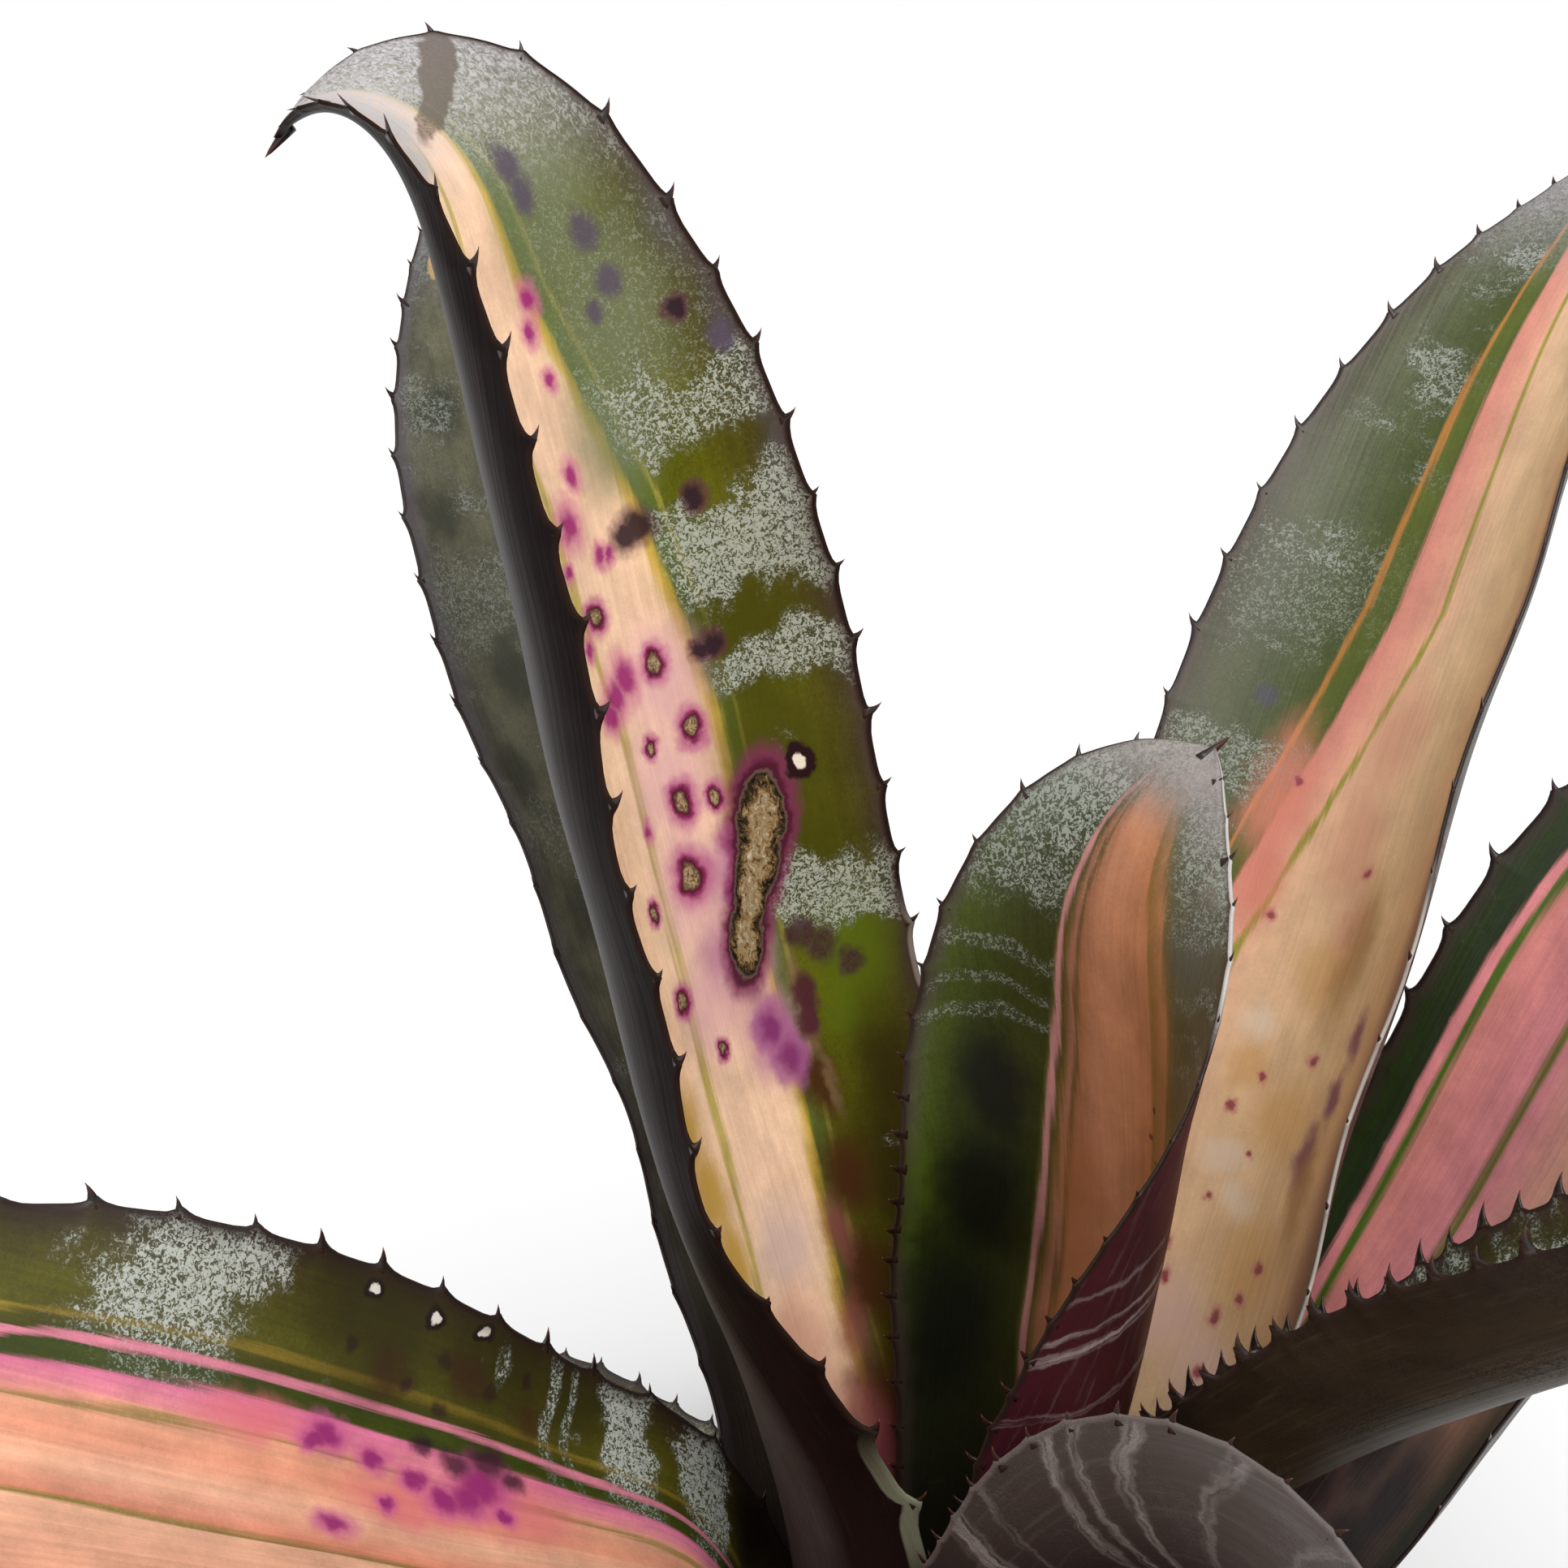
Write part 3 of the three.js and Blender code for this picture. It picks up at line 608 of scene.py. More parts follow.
def leaf_skin(name, face, back, wool="#a9b0a2", wool_share=0.85, wool_level=0.5, bands=(), stains_or_shade=(),
              marks=(), rim=("#443630", 0.9, 0.5), edge="#2a1c17", rim_highlights=(), dry="#a6a2a5", dry_from=0.9,
              foot="#4a2028", foot_to=30, streaks=0.1, mottle=0.16, smear="#a8a09c", smear_share=0.15,
              foot_behind=("#33201f", 32, -12), bands_behind=(), drip_lean=12.0, crust=(), gloss=0.4):
    """A living bromeliad leaf: long stripes under wool, wounds, a dry tip and a thin horny rim."""
    material, tree = new_material(name)
    place = add(tree, "UVMap", uv_map="leaf_mm")
    across, band, along, inside = (add(tree, "Attribute", out="Fac", attribute_name=label)
                                   for label in ("across", "band", "along", "inside"))
    s = add(tree, "SeparateXYZ", {0: place}, out="Y")
    side = add(tree, "Math", {0: across}, operation="ABSOLUTE")

    # A map range's sockets are the value, the two ends of its range and what it gives at each.
    soft = dict(interpolation_type="SMOOTHSTEP")

    def cross_band(ground, at, starts, full, strength):
        """A soft band across the leaf, round the place where the ground comes to a value."""
        apart = add(tree, "Math", {0: ground, 1: at}, operation="SUBTRACT")
        apart = add(tree, "Math", {0: apart}, operation="ABSOLUTE")
        return add(tree, "MapRange", {0: apart, 1: starts, 2: full, 3: 0, 4: strength}, **soft)

    # Veins run the whole length, about a millimetre apart, and the stripes lie along them. Slow
    # blotches some 8 mm across make each stripe uneven.
    vein = drawn_out(tree, place, VEIN_PACE, 4, 0.62)
    drift = drawn_out(tree, place, DRIFT_PACE, 2, 0.5)
    blotch = drawn_out(tree, place, BLOTCH_PACE, 5, 0.6)
    shift = add(tree, "MapRange", {0: vein, 1: 0.3, 2: 0.7, 3: -0.014, 4: 0.014})
    drifted = add(tree, "Math", {0: drift, 1: 0.06, 2: shift}, operation="MULTIPLY_ADD")
    moved = add(tree, "Math", {0: band, 1: drifted}, operation="ADD")
    ramp_at = add(tree, "Math", {0: moved, 1: 0.5, 2: 0.485}, operation="MULTIPLY_ADD")
    striped = add(tree, "ValToRGB", {"Fac": ramp_at})
    fill_ramp(striped.node.color_ramp, face, lambda u: (u + 1) / 2)
    holds = striped.node.outputs["Alpha"]
    lit = add(tree, "MapRange", {0: vein, 1: 0.3, 2: 0.7, 3: 1 - streaks, 4: 1 + streaks / 2})
    cloud = add(tree, "MapRange", {0: blotch, 1: 0.32, 2: 0.68, 3: 1 - mottle, 4: 1 + mottle})
    tone = add(tree, "Math", {0: lit, 1: cloud}, operation="MULTIPLY")
    curled = {"Vector": place, "Scale": TUFTS_PER_MM, "Detail": 2, "Roughness": 0.65, "Distortion": 1.3}
    tuft = add(tree, "TexNoise", curled, out="Fac")
    grain = add(tree, "MapRange", {0: tuft, 1: 0.3, 2: 0.7, 3: -1})
    grains = add(tree, "MapRange", {0: holds, 1: 0, 2: 1, 3: 0.05, 4: 0.2})
    grained = add(tree, "Math", {0: grain, 1: grains, 2: 1.0}, operation="MULTIPLY_ADD")
    tone = add(tree, "Math", {0: tone, 1: grained}, operation="MULTIPLY")
    skin = add(tree, "Mix", {0: 1.0, 6: striped, 7: tone}, out=2, data_type="RGBA", blend_type="MULTIPLY")

    # Edges of marks wander by a millimetre, edges of broad stains and patches of painted shade by several.
    uneven, loose = None, place
    for scale, reach in (MARK_WOBBLE, STAIN_OR_SHADE_WOBBLE):
        wobble = {"Vector": place, "Scale": scale, "Detail": 5, "Roughness": 0.6}
        wander = add(tree, "TexNoise", wobble, out="Color")
        wander = add(tree, "VectorMath", {0: wander, 1: (0.5, 0.5, 0.5)}, operation="SUBTRACT")
        wander = add(tree, "VectorMath", {0: wander, 1: reach}, operation="MULTIPLY")
        uneven, loose = loose, add(tree, "VectorMath", {0: loose, 1: wander}, operation="ADD")

    # Wool scurf lies in patches and cross bands of felted strokes, a third of a millimetre wide,
    # with the skin dark between them.
    patch = drawn_out(tree, place, WOOL_PATCH_PACE, 4, 0.62)
    woolly = add(tree, "MapRange", {0: patch, 1: wool_level - 0.05, 2: wool_level + 0.12}, **soft)
    bend_s = add(tree, "MapRange", {0: drift, 1: 0.3, 2: 0.7, 3: -4, 4: 4})
    bent = add(tree, "Math", {0: s, 1: bend_s}, operation="ADD")
    for at, half_band, strength in bands:
        ragged = add(tree, "Math", {0: blotch, 1: 2.6 * half_band, 2: bent}, operation="MULTIPLY_ADD")
        ring = cross_band(ragged, at + 1.3 * half_band, half_band * 1.3, half_band * 0.6, strength)
        woolly = add(tree, "Math", {0: woolly, 1: ring}, operation="MAXIMUM")
    woolly = add(tree, "Math", {0: woolly, 1: holds}, operation="MULTIPLY")
    woolly = add(tree, "Math", {0: woolly, 1: wool_share}, operation="MULTIPLY")
    reach = add(tree, "Math", {0: woolly, 1: 0.14, 2: tuft}, operation="MULTIPLY_ADD")
    strokes = add(tree, "MapRange", {0: reach, 1: 0.545, 2: 0.635}, **soft)
    thick_wool = add(tree, "Math", {0: woolly, 1: 2.0}, operation="MULTIPLY", use_clamp=True)
    wool_mask = add(tree, "Math", {0: thick_wool, 1: strokes}, operation="MULTIPLY")
    wool_mask = add(tree, "Math", {0: wool_mask, 1: 0.9}, operation="MULTIPLY")
    veil = add(tree, "Math", {0: woolly, 1: 0.14}, operation="MULTIPLY")
    gaps = add(tree, "Math", {0: woolly, 1: 0.4}, operation="MULTIPLY")

    # The tip dries grey and grainy, the foot is darkened, by a tank stain on most leaves and by painted
    # shade of the deep cup on the heart leaf and the right leaf, and the rim is brown.
    dry_on = add(tree, "MapRange", {0: along, 1: dry_from - 0.06, 2: dry_from + 0.05}, **soft)
    dry_grain = add(tree, "MapRange", {0: tuft, 1: 0.36, 2: 0.6, 3: 0.35})
    dry_mask = add(tree, "Math", {0: dry_on, 1: dry_grain}, operation="MULTIPLY")
    foot_mask = add(tree, "MapRange", {0: s, 1: foot_to, 2: foot_to - 35, 3: 0, 4: 0.92}, **soft)
    side_drift = add(tree, "Math", {0: vein, 1: 0.04, 2: side}, operation="MULTIPLY_ADD")
    rim_mask = add(tree, "MapRange", {0: side_drift, 1: rim[1] + 0.02, 2: 1.01, 3: 0, 4: rim[2]}, **soft)
    edge_mask = add(tree, "MapRange", {0: side, 1: 0.975, 2: 0.993})
    grit = add(tree, "MapRange", {0: tuft, 1: 0.42, 2: 0.58})

    def mark_layers(ground, groups):
        """A mask and a colour for each ring of each kind of mark."""
        found = []
        for places, rings, stretch, turn in groups:
            field = mark_field(tree, ground, places, stretch, turn)
            for colour, start, full, strength, grain in rings:
                mask = add(tree, "MapRange", {0: field, 1: start, 2: full, 3: 0, 4: strength}, **soft)
                if grain:
                    rough_mask = add(tree, "Math", {0: mask, 1: grit}, operation="MULTIPLY")
                    mask = add(tree, "Mix", {0: grain, 2: mask, 3: rough_mask}, data_type="FLOAT")
                found.append((mask, colour))
        return found

    skin = laid_on(tree, skin, mark_layers(loose, stains_or_shade) + [(veil, wool)])
    shade = {0: 1.0, 6: skin, 7: linear("#6a6a66")}
    darker = add(tree, "Mix", shade, out=2, data_type="RGBA", blend_type="MULTIPLY")
    layers = [(gaps, darker), (wool_mask, wool), (foot_mask, foot), (dry_mask, dry)]
    layers += mark_layers(uneven, marks)
    if crust:
        # The crust is coloured by a made-up height, sunk towards the middle of the gouge: the dark low
        # parts are partly painted shade and the pale high parts partly painted highlight.
        crumb = drawn_out(tree, uneven, CRUMB_PACE, 6, 0.75, 0.8)
        hollow = mark_field(tree, uneven, *crust)
        sunk = add(tree, "MapRange", {0: hollow, 1: 0.45, 2: 0.95, 3: 0.06, 4: -0.16})
        height = add(tree, "Math", {0: crumb, 1: sunk}, operation="ADD")
        crust_and_relief_shade = add(tree, "ValToRGB", {"Fac": height})
        fill_ramp(crust_and_relief_shade.node.color_ramp, CRUST_AND_RELIEF_SHADE_STOPS)
        layers.append((add(tree, "MapRange", {0: hollow, 1: 1, 2: 0.93}), crust_and_relief_shade))
    skin = laid_on(tree, skin, layers + [(rim_mask, rim[0]), (edge_mask, edge)])

    # The outer face is darker and smoother, with pale smears of wool drawn out along the veins.
    behind_at = add(tree, "Math", {0: across, 1: 0.5, 2: 0.5}, operation="MULTIPLY_ADD")
    behind = add(tree, "ValToRGB", {"Fac": behind_at})
    fill_ramp(behind.node.color_ramp, back, lambda u: (u + 1) / 2)
    behind = add(tree, "Mix", {0: 1.0, 6: behind, 7: cloud}, out=2, data_type="RGBA", blend_type="MULTIPLY")
    streak = drawn_out(tree, place, SMEAR_PACE, 4, 0.6)
    smeared = add(tree, "MapRange", {0: streak, 1: 0.54, 2: 0.7, 3: 0, 4: smear_share}, **soft)
    tank_stain, stain_from, stain_full = foot_behind
    foot_back = add(tree, "MapRange", {0: s, 1: stain_from, 2: stain_full, 3: 0, 4: 0.8}, **soft)
    layers = [(foot_back, tank_stain), (smeared, smear)]
    if bands_behind:
        # Water drips across the leaf and leaves pale brushed bands that lie aslant.
        leaning = add(tree, "Math", {0: across, 1: drip_lean, 2: s}, operation="MULTIPLY_ADD")
        leaning = add(tree, "Math", {0: blotch, 1: 5.0, 2: leaning}, operation="MULTIPLY_ADD")
        drips = add(tree, "CombineXYZ", {"X": across, "Y": leaning})
        strokes_behind = drawn_out(tree, drips, DRIP_PACE, 4, 0.65)
        brushed = add(tree, "MapRange", {0: strokes_behind, 1: 0.38, 2: 0.58, 3: 0.05})
        for at, half_band, strength in bands_behind:
            drip = cross_band(leaning, at - drip_lean + 2.5, half_band * 1.5, half_band * 0.4, strength)
            layers.append((add(tree, "Math", {0: drip, 1: brushed}, operation="MULTIPLY"), smear))
    behind = laid_on(tree, behind, layers + [(edge_mask, edge)])
    facing = add(tree, "MapRange", {0: inside, 1: 0.35, 2: 0.65})
    colour = laid_on(tree, behind, [(facing, skin)])

    # Along some stretches of margin a pale line is painted on the thin rim: a painted highlight where the
    # edge catches the light.
    for sign, start, low, high, tint in rim_highlights:
        signed = add(tree, "Math", {0: across, 1: sign}, operation="MULTIPLY")
        at_rim = add(tree, "MapRange", {0: signed, 1: start, 2: start + 0.01})
        from_foot = add(tree, "MapRange", {0: s, 1: low - 8, 2: low}, **soft)
        to_top = add(tree, "MapRange", {0: s, 1: high + 12, 2: high}, **soft)
        highlit = add(tree, "Math", {0: at_rim, 1: from_foot}, operation="MULTIPLY")
        highlit = add(tree, "Math", {0: highlit, 1: to_top}, operation="MULTIPLY")
        colour = laid_on(tree, colour, [(highlit, tint)])

    # Wax gives a low broad sheen; the wool takes it away.
    rough = add(tree, "MapRange", {0: wool_mask, 1: 0, 2: 1, 3: 0.42, 4: 0.85})
    ribs = add(tree, "Math", {0: strokes, 1: woolly, 2: vein}, operation="MULTIPLY_ADD")
    relief = add(tree, "Bump", {"Height": ribs, "Strength": 0.35, "Distance": 0.4 / MM})
    waxy = {"Base Color": colour, "Roughness": rough, "Normal": relief, "Specular IOR Level": gloss}
    add(tree, "OutputMaterial", {"Surface": add(tree, "BsdfPrincipled", waxy)})
    return material


grow_leaf(
    "heart_leaf",
    leaf_skin(
        "heart_leaf_skin",
        face=[(-1, "#57523f", 0.9), (-0.75, "#5a583e", 0.9), (-0.56, "#625c3a", 0.5),
              (-0.5, "#7a6430", 0.2), (-0.47, "#b07a50", 0.1), (-0.4, "#8c6a34", 0.05),
              (-0.385, "#b87c54", 0.05), (-0.27, "#bf8460", 0.05), (-0.15, "#ba8060", 0.05),
              (-0.09, "#a26c4c", 0.1), (-0.075, "#5a4a1e", 0.1), (-0.06, "#a8705a", 0.1),
              (-0.035, "#6a5426", 0.1), (-0.02, "#4a441a", 0.1), (-0.006, "#bd8480", 0.1),
              (0.014, "#bd8480", 0.1), (0.028, "#5a5428", 0.4), (0.05, "#30370e", 0.8), (0.3, "#343c0e", 1),
              (0.6, "#3c4812", 1), (0.8, "#455216", 1), (0.92, "#4e5434", 1), (1, "#403a2a", 0.8)],
        back=[(-1, "#4a1a26"), (-0.5, "#45181f"), (0, "#3a1a1f"), (0.5, "#2f141a"), (1, "#2a1218")],
        smear="#b8a8a8", smear_share=0.1,
        bands_behind=[(37.5, 1.0, 0.8), (40.8, 0.6, 0.55), (26.4, 0.6, 0.45), (47, 0.6, 0.35)],
        drip_lean=-10.0, wool="#9aa196", wool_level=0.72, dry="#9c9492", dry_from=0.92,
        bands=[(98, 7, 0.85), (88, 3.5, 0.55), (79, 1.1, 0.36), (74.5, 0.7, 0.3), (70.5, 0.9, 0.33)],
        # The near-black foot is partly the dark sheath and partly painted shade deep in the cup.
        foot="#120e0c", foot_to=28,
        stains_or_shade=[
            stain_or_shade("#5c6052",
                  [(15, 101, 6.5), (9, 106, 7), (0, 108.5, 6), (-8, 106, 7), (-11, 98, 6), (-15, 86, 6)],
                  0.95, 1.2),
            stain_or_shade("#8c827b", [(-4, 108, 4), (-10, 102, 4), (-15.5, 95, 3.6)], 0.7, 1.3),
            # The near-black patch low on the left half is painted shade deep in the cup.
            stain_or_shade("#0e120a", [(21.5, 60, 6), (24.5, 42, 8), (28.5, 20, 10.5)], 0.97, 1.9),
            stain_or_shade("#465c12", [(35, 48, 3.6), (35.8, 36, 2.6)], 0.9, 2.6),
            stain_or_shade("#a0643a", [(9, 46, 4), (8.5, 34, 4), (10, 22, 4)], 0.6, 2.0),
        ],
        marks=[spots([(-6, 62, 0.5), (-5, 58, 0.4), (-7, 55, 0.4), (-1, 40, 0.35)],
                     [("#4a2a1c", 1.4, 0.6, 0.8)])],
        # The pale line along the upper stretch of one margin is a painted highlight.
        rim_highlights=[(-1, 0.98, 86, 108, "#c2bdb8")],
    ),
    dict(shell=1, azimuth=9.5, neck=86, lean=(11.5, -10.5, 66.5), bend=0.67, curl=1.5, length=112, half=38,
         widest=0.25, neck_share=0.93, taper=2.3, swing=15, twist=-26, channel=(20.7, 40), wrap=97),
    seam=((0.17, 0.47), (0.5, 0.40), (0.82, 0.31)), pitch=6.2, arcs=(0.8, 0.8),
)


# The tall left leaf leans back and shows its whole face: green on one side, cream on the other,
# with thin yellow lines between them. Insects have bitten it: one long dry gouge, a few ring
# scars and many purple stains on the cream.
GOUGE = [(-24.2, 99, 3.7), (-22.6, 94.5, 3.1), (-20.0, 89.5, 2.9), (-17.5, 84, 3.1)]
GOUGE_SHAPE = (1.85, -17)
grow_leaf(
    "tall_left_leaf",
    leaf_skin(
        "tall_left_leaf_skin",
        face=[(-1, "#4a4038", 0.9), (-0.9, "#4a4224", 0.9), (-0.7, "#524e16", 1), (-0.45, "#5e5e12", 1),
              (-0.22, "#5c6012", 1), (-0.17, "#63661c", 0.9), (-0.157, "#8e8a3a", 0.7),
              (-0.143, "#8e8a3a", 0.7), (-0.128, "#5c6824", 0.6), (-0.06, "#5a6a30", 0.5),
              (-0.042, "#6c7030", 0.3), (-0.03, "#a89a3a", 0.1), (-0.008, "#ccaa4c", 0.1),
              (0.01, "#dcb868", 0.05), (0.024, "#eecaa0", 0.05), (0.06, "#f6ceac", 0.05),
              (0.24, "#f8d2b2", 0.05), (0.256, "#c2ad62", 0.05), (0.268, "#c2ad62", 0.05),
              (0.284, "#f8d4b0", 0.05), (0.45, "#f4c8a4", 0.05), (0.6, "#f0c098", 0), (1, "#a08040", 0)],
        # On the outer face the lighter grey band along the keel is a painted highlight.
        back=[(-1, "#34302c"), (-0.3, "#3f3d36"), (0, "#5c605f"), (0.6, "#4c4b49"), (0.66, "#393634"),
              (0.71, "#1e1513"), (1, "#17100e")],
        smear_share=0.01, gloss=0.03, wool="#b0b6a8", wool_share=0.9, wool_level=0.68,
        bands=[(159, 6, 0.62), (137.5, 7.5, 1.0), (121, 3.2, 0.8), (86, 5.5, 0.85), (198, 9, 0.32),
               (174, 14, 0.17)],
        rim=("#4a3a34", 0.93, 0.6), foot="#6e3036", foot_to=20, dry="#c2bec1",
        stains_or_shade=[
            stain_or_shade("#737b5a", [(-13, 185, 9), (-18, 172, 10), (-14, 157, 7)], 0.75, 1.4),
            stain_or_shade("#5c5658", [(-39, 148, 3.6), (-38, 160, 3.8), (-35, 172, 4), (-30, 184, 4)], 0.8, 2.2),
            stain_or_shade("#b5b0ac", [(6, 210, 8), (5, 200, 5.5), (7, 194, 4)], 0.9, 1.0),
            stain_or_shade("#46440f", [(-27, 124, 9), (-28, 106, 10), (-30, 92, 7)], 0.85, 1.5),
            stain_or_shade("#5a6a16", [(-34, 77, 6.5), (-31, 69, 4)], 0.9, 1.5),
            stain_or_shade("#3a3212", [(-34, 57, 6), (-31, 45, 8), (-28, 25, 9)], 0.9, 1.8),
            stain_or_shade("#4c3018", [(-23.5, 61, 3.6), (-22.5, 47, 4.6), (-20.5, 32, 5), (-18, 14, 5.4)], 1.0,
                  1.6),
            stain_or_shade("#8a4c48", [(-18.5, 40, 2.4), (-16.5, 26, 3), (-14, 12, 4)], 0.8, 2.2),
            stain_or_shade("#7d6246", [(-24.3, 76, 1.1), (-25, 68, 1.1), (-25.3, 60, 1.1)], 0.75, 4.0),
            stain_or_shade("#dfa8b4", [(-14, 122, 7), (-11, 108, 8), (-9, 94, 7), (-8, 78, 7)], 0.6, 1.2),
            stain_or_shade("#c4889e", [(-17, 92, 5), (-16, 82, 6), (-18, 70, 5.5), (-12, 84, 4)], 0.9, 1.3),
            stain_or_shade("#a84a80", [(-19, 97, 2.2), (-17.2, 90, 1.6)], 0.8, 2.0),
            stain_or_shade("#c9a244", [(5, 64, 4), (4, 54, 4.5), (3, 44, 4)], 0.9, 1.8),
            stain_or_shade("#d6bcb4", [(-9, 42, 6)], 0.7, 1.2),
            stain_or_shade("#d09a84", [(-7, 26, 6), (-8, 14, 6)], 0.8, 1.6),
            stain_or_shade("#703040", [(-13, 3, 9)], 0.9, 1.2),
        ],
        marks=[
            spots([(-9.5, 200.8, 12)], [("#63564b", 1.15, 0.85, 0.85, 0.25)], 0.15, 22),
            spots([(-6.7, 174.7, 1.3), (-5.5, 170.6, 1.1), (-6.8, 164, 1.0), (-6.3, 151.7, 1.2),
                   (-3.7, 145.4, 1.9), (-8.3, 140.6, 1.0), (-10, 140.3, 0.7), (-7.5, 124, 1.8),
                   (-5, 122.2, 1.8), (-3, 120, 1.5), (-2.1, 129, 0.9), (-4.7, 103.4, 0.9),
                   (-1.4, 139.7, 0.9)], [("#cc6a94", 2.3, 1.0, 0.65), ("#9c2470", 1.3, 0.4, 0.9)], 1.35),
            spots([(-18, 70.5, 2.6), (-19.8, 65.5, 2.6)],
                  [("#a85a90", 1.7, 1.0, 0.75), ("#7e2c66", 1.1, 0.3, 0.85)], 1.3),
            wounds([(-5, 133, 1.5), (-13.2, 124.7, 1.5), (-16.9, 114.5, 1.6), (-12.3, 105.2, 1.8),
                    (-18.1, 104.6, 1.2), (-10.5, 95.3, 2.3), (-9, 114, 0.9), (-2.2, 80, 1.4),
                    (-8.3, 71, 0.9), (-1.1, 93, 1.0)], 1.15),
            spots([(-9.7, 190.5, 1.9), (-10.3, 187, 1.9), (-17.5, 181.6, 2.0), (-19.3, 175, 1.8),
                   (-16.5, 171.5, 1.4), (-32.8, 165, 1.8)], [("#574c5c", 1.5, 0.5, 0.85)], 1.2),
            spots([(-27.4, 169.7, 1.3), (-15.4, 143, 2.1), (-13.0, 142, 1.9), (-24.5, 145, 1.6),
                   (-22.5, 125, 1.5), (-20.5, 124.6, 1.2)],
                  [("#5a2340", 1.9, 1.1, 0.6), ("#2f2028", 1.3, 0.6, 0.9)]),
            spots([(-26.5, 81.6, 2.2), (-29.2, 79, 2.6), (-33.0, 75.5, 2.0)],
                  [("#432030", 1.5, 0.6, 0.9, 0.3)], 0.9),
            spots([(-25, 73, 2.0), (-24.5, 69.5, 1.7)], [("#4e2030", 1.5, 0.6, 0.9)], 1.6),
            spots(GOUGE, [("#7e2c56", 1.85, 1.25, 0.8), ("#4a1a2a", 1.35, 1.12, 0.9),
                          ("#6c5a4e", 1.08, 1.03, 0.7)], *GOUGE_SHAPE),
            spots([(-31.8, 105.8, 2.0)], [("#2a161a", 1.25, 0.95, 1.0), ("#ece2cc", 0.62, 0.45, 1.0)], 1.3),
        ],
        crust=(GOUGE, *GOUGE_SHAPE),
        # The pale line along the lower stretch of one margin, and the short pale green stretch of the other
        # margin low by the cup, are painted highlights.
        rim_highlights=[(-1, 0.98, 0, 74, "#8e8379"), (1, 0.94, 16, 20, "#7b7c67")],
    ),
    dict(shell=2, azimuth=156, neck=77.7, lean=(17, 13.2, 150), bend=0.82, curl=1.9, length=218.5,
         half=43.5, widest=0.38, neck_share=0.97, taper=3.3, swing=18, twist=20, channel=(40.5, 24.8),
         wrap=102),
    arcs=(1.0, 2.3),
    seam=((0.14, -0.36), (0.27, -0.46), (0.53, -0.49), (0.67, -0.38), (0.81, -0.18), (0.90, -0.15)),
    dent=(92, -22, 14, 5, 0.6),
)


# Two darker leaves stand in front of the heart and are seen from outside: one is rolled and
# brown with tall spines, the other twisted and grey.
grow_leaf(
    "right_front_leaf",
    leaf_skin(
        "right_front_leaf_skin",
        face=[(-1, "#3a3022"), (-0.6, "#4a4c1c"), (-0.3, "#c08a5c", 0.1), (0, "#d89a78", 0.1),
              (0.2, "#4f5a1c"), (0.6, "#4a4c1c"), (1, "#352a1c")],
        back=[(-1, "#2a1f15"), (-0.4, "#2c2014"), (0, "#3a2c18"), (0.3, "#261b10"), (0.55, "#3a2f1b"),
              (0.7, "#23180e"), (1, "#1c130b")],
        smear="#6a5c4a", smear_share=0.12, mottle=0.3, gloss=0.14,
    ),
    dict(shell=3, azimuth=-43.7, neck=82, lean=(45, 57.7, 92), length=180, half=33, swing=-10.7, twist=6,
         channel=(29.2, 32)),
    arcs=(3.4, 3.4), pitch=5.2,
)
grow_leaf(
    "front_fold_leaf",
    leaf_skin(
        "front_fold_leaf_skin",
        face=[(-1, "#3a3022"), (-0.5, "#4a4c1c"), (-0.2, "#c9946c", 0.1), (0.1, "#d8a080", 0.1),
              (0.3, "#4f5a1c"), (1, "#352a1c")],
        back=[(-1, "#5e5a57"), (-0.3, "#585451"), (0.2, "#524e4b"), (0.7, "#4a4543"), (1, "#403735")],
        rim=("#575150", 0.93, 0.3), edge="#6a625f", smear="#a8a5a1", smear_share=0.08,
        foot_behind=("#362b29", 70, 24),
        bands_behind=[(28, 1.7, 0.75), (34, 0.6, 0.25), (44, 1.0, 0.7), (47.5, 0.8, 0.6), (52.5, 1.0, 0.7),
                      (62, 0.9, 0.45), (71, 0.7, 0.3)],
        mottle=0.07,
    ),
    dict(shell=4, azimuth=-60.7, neck=79.5, lean=(37.4, 85.6, 129.2), bend=0.45, curl=1.18, length=100.3,
         half=25.9, taper=2.2, swing=-22.9, twist=87.3, channel=(56.2, 62.4)),
    arcs=(0.8, 0.8), pitch=4.6,
)


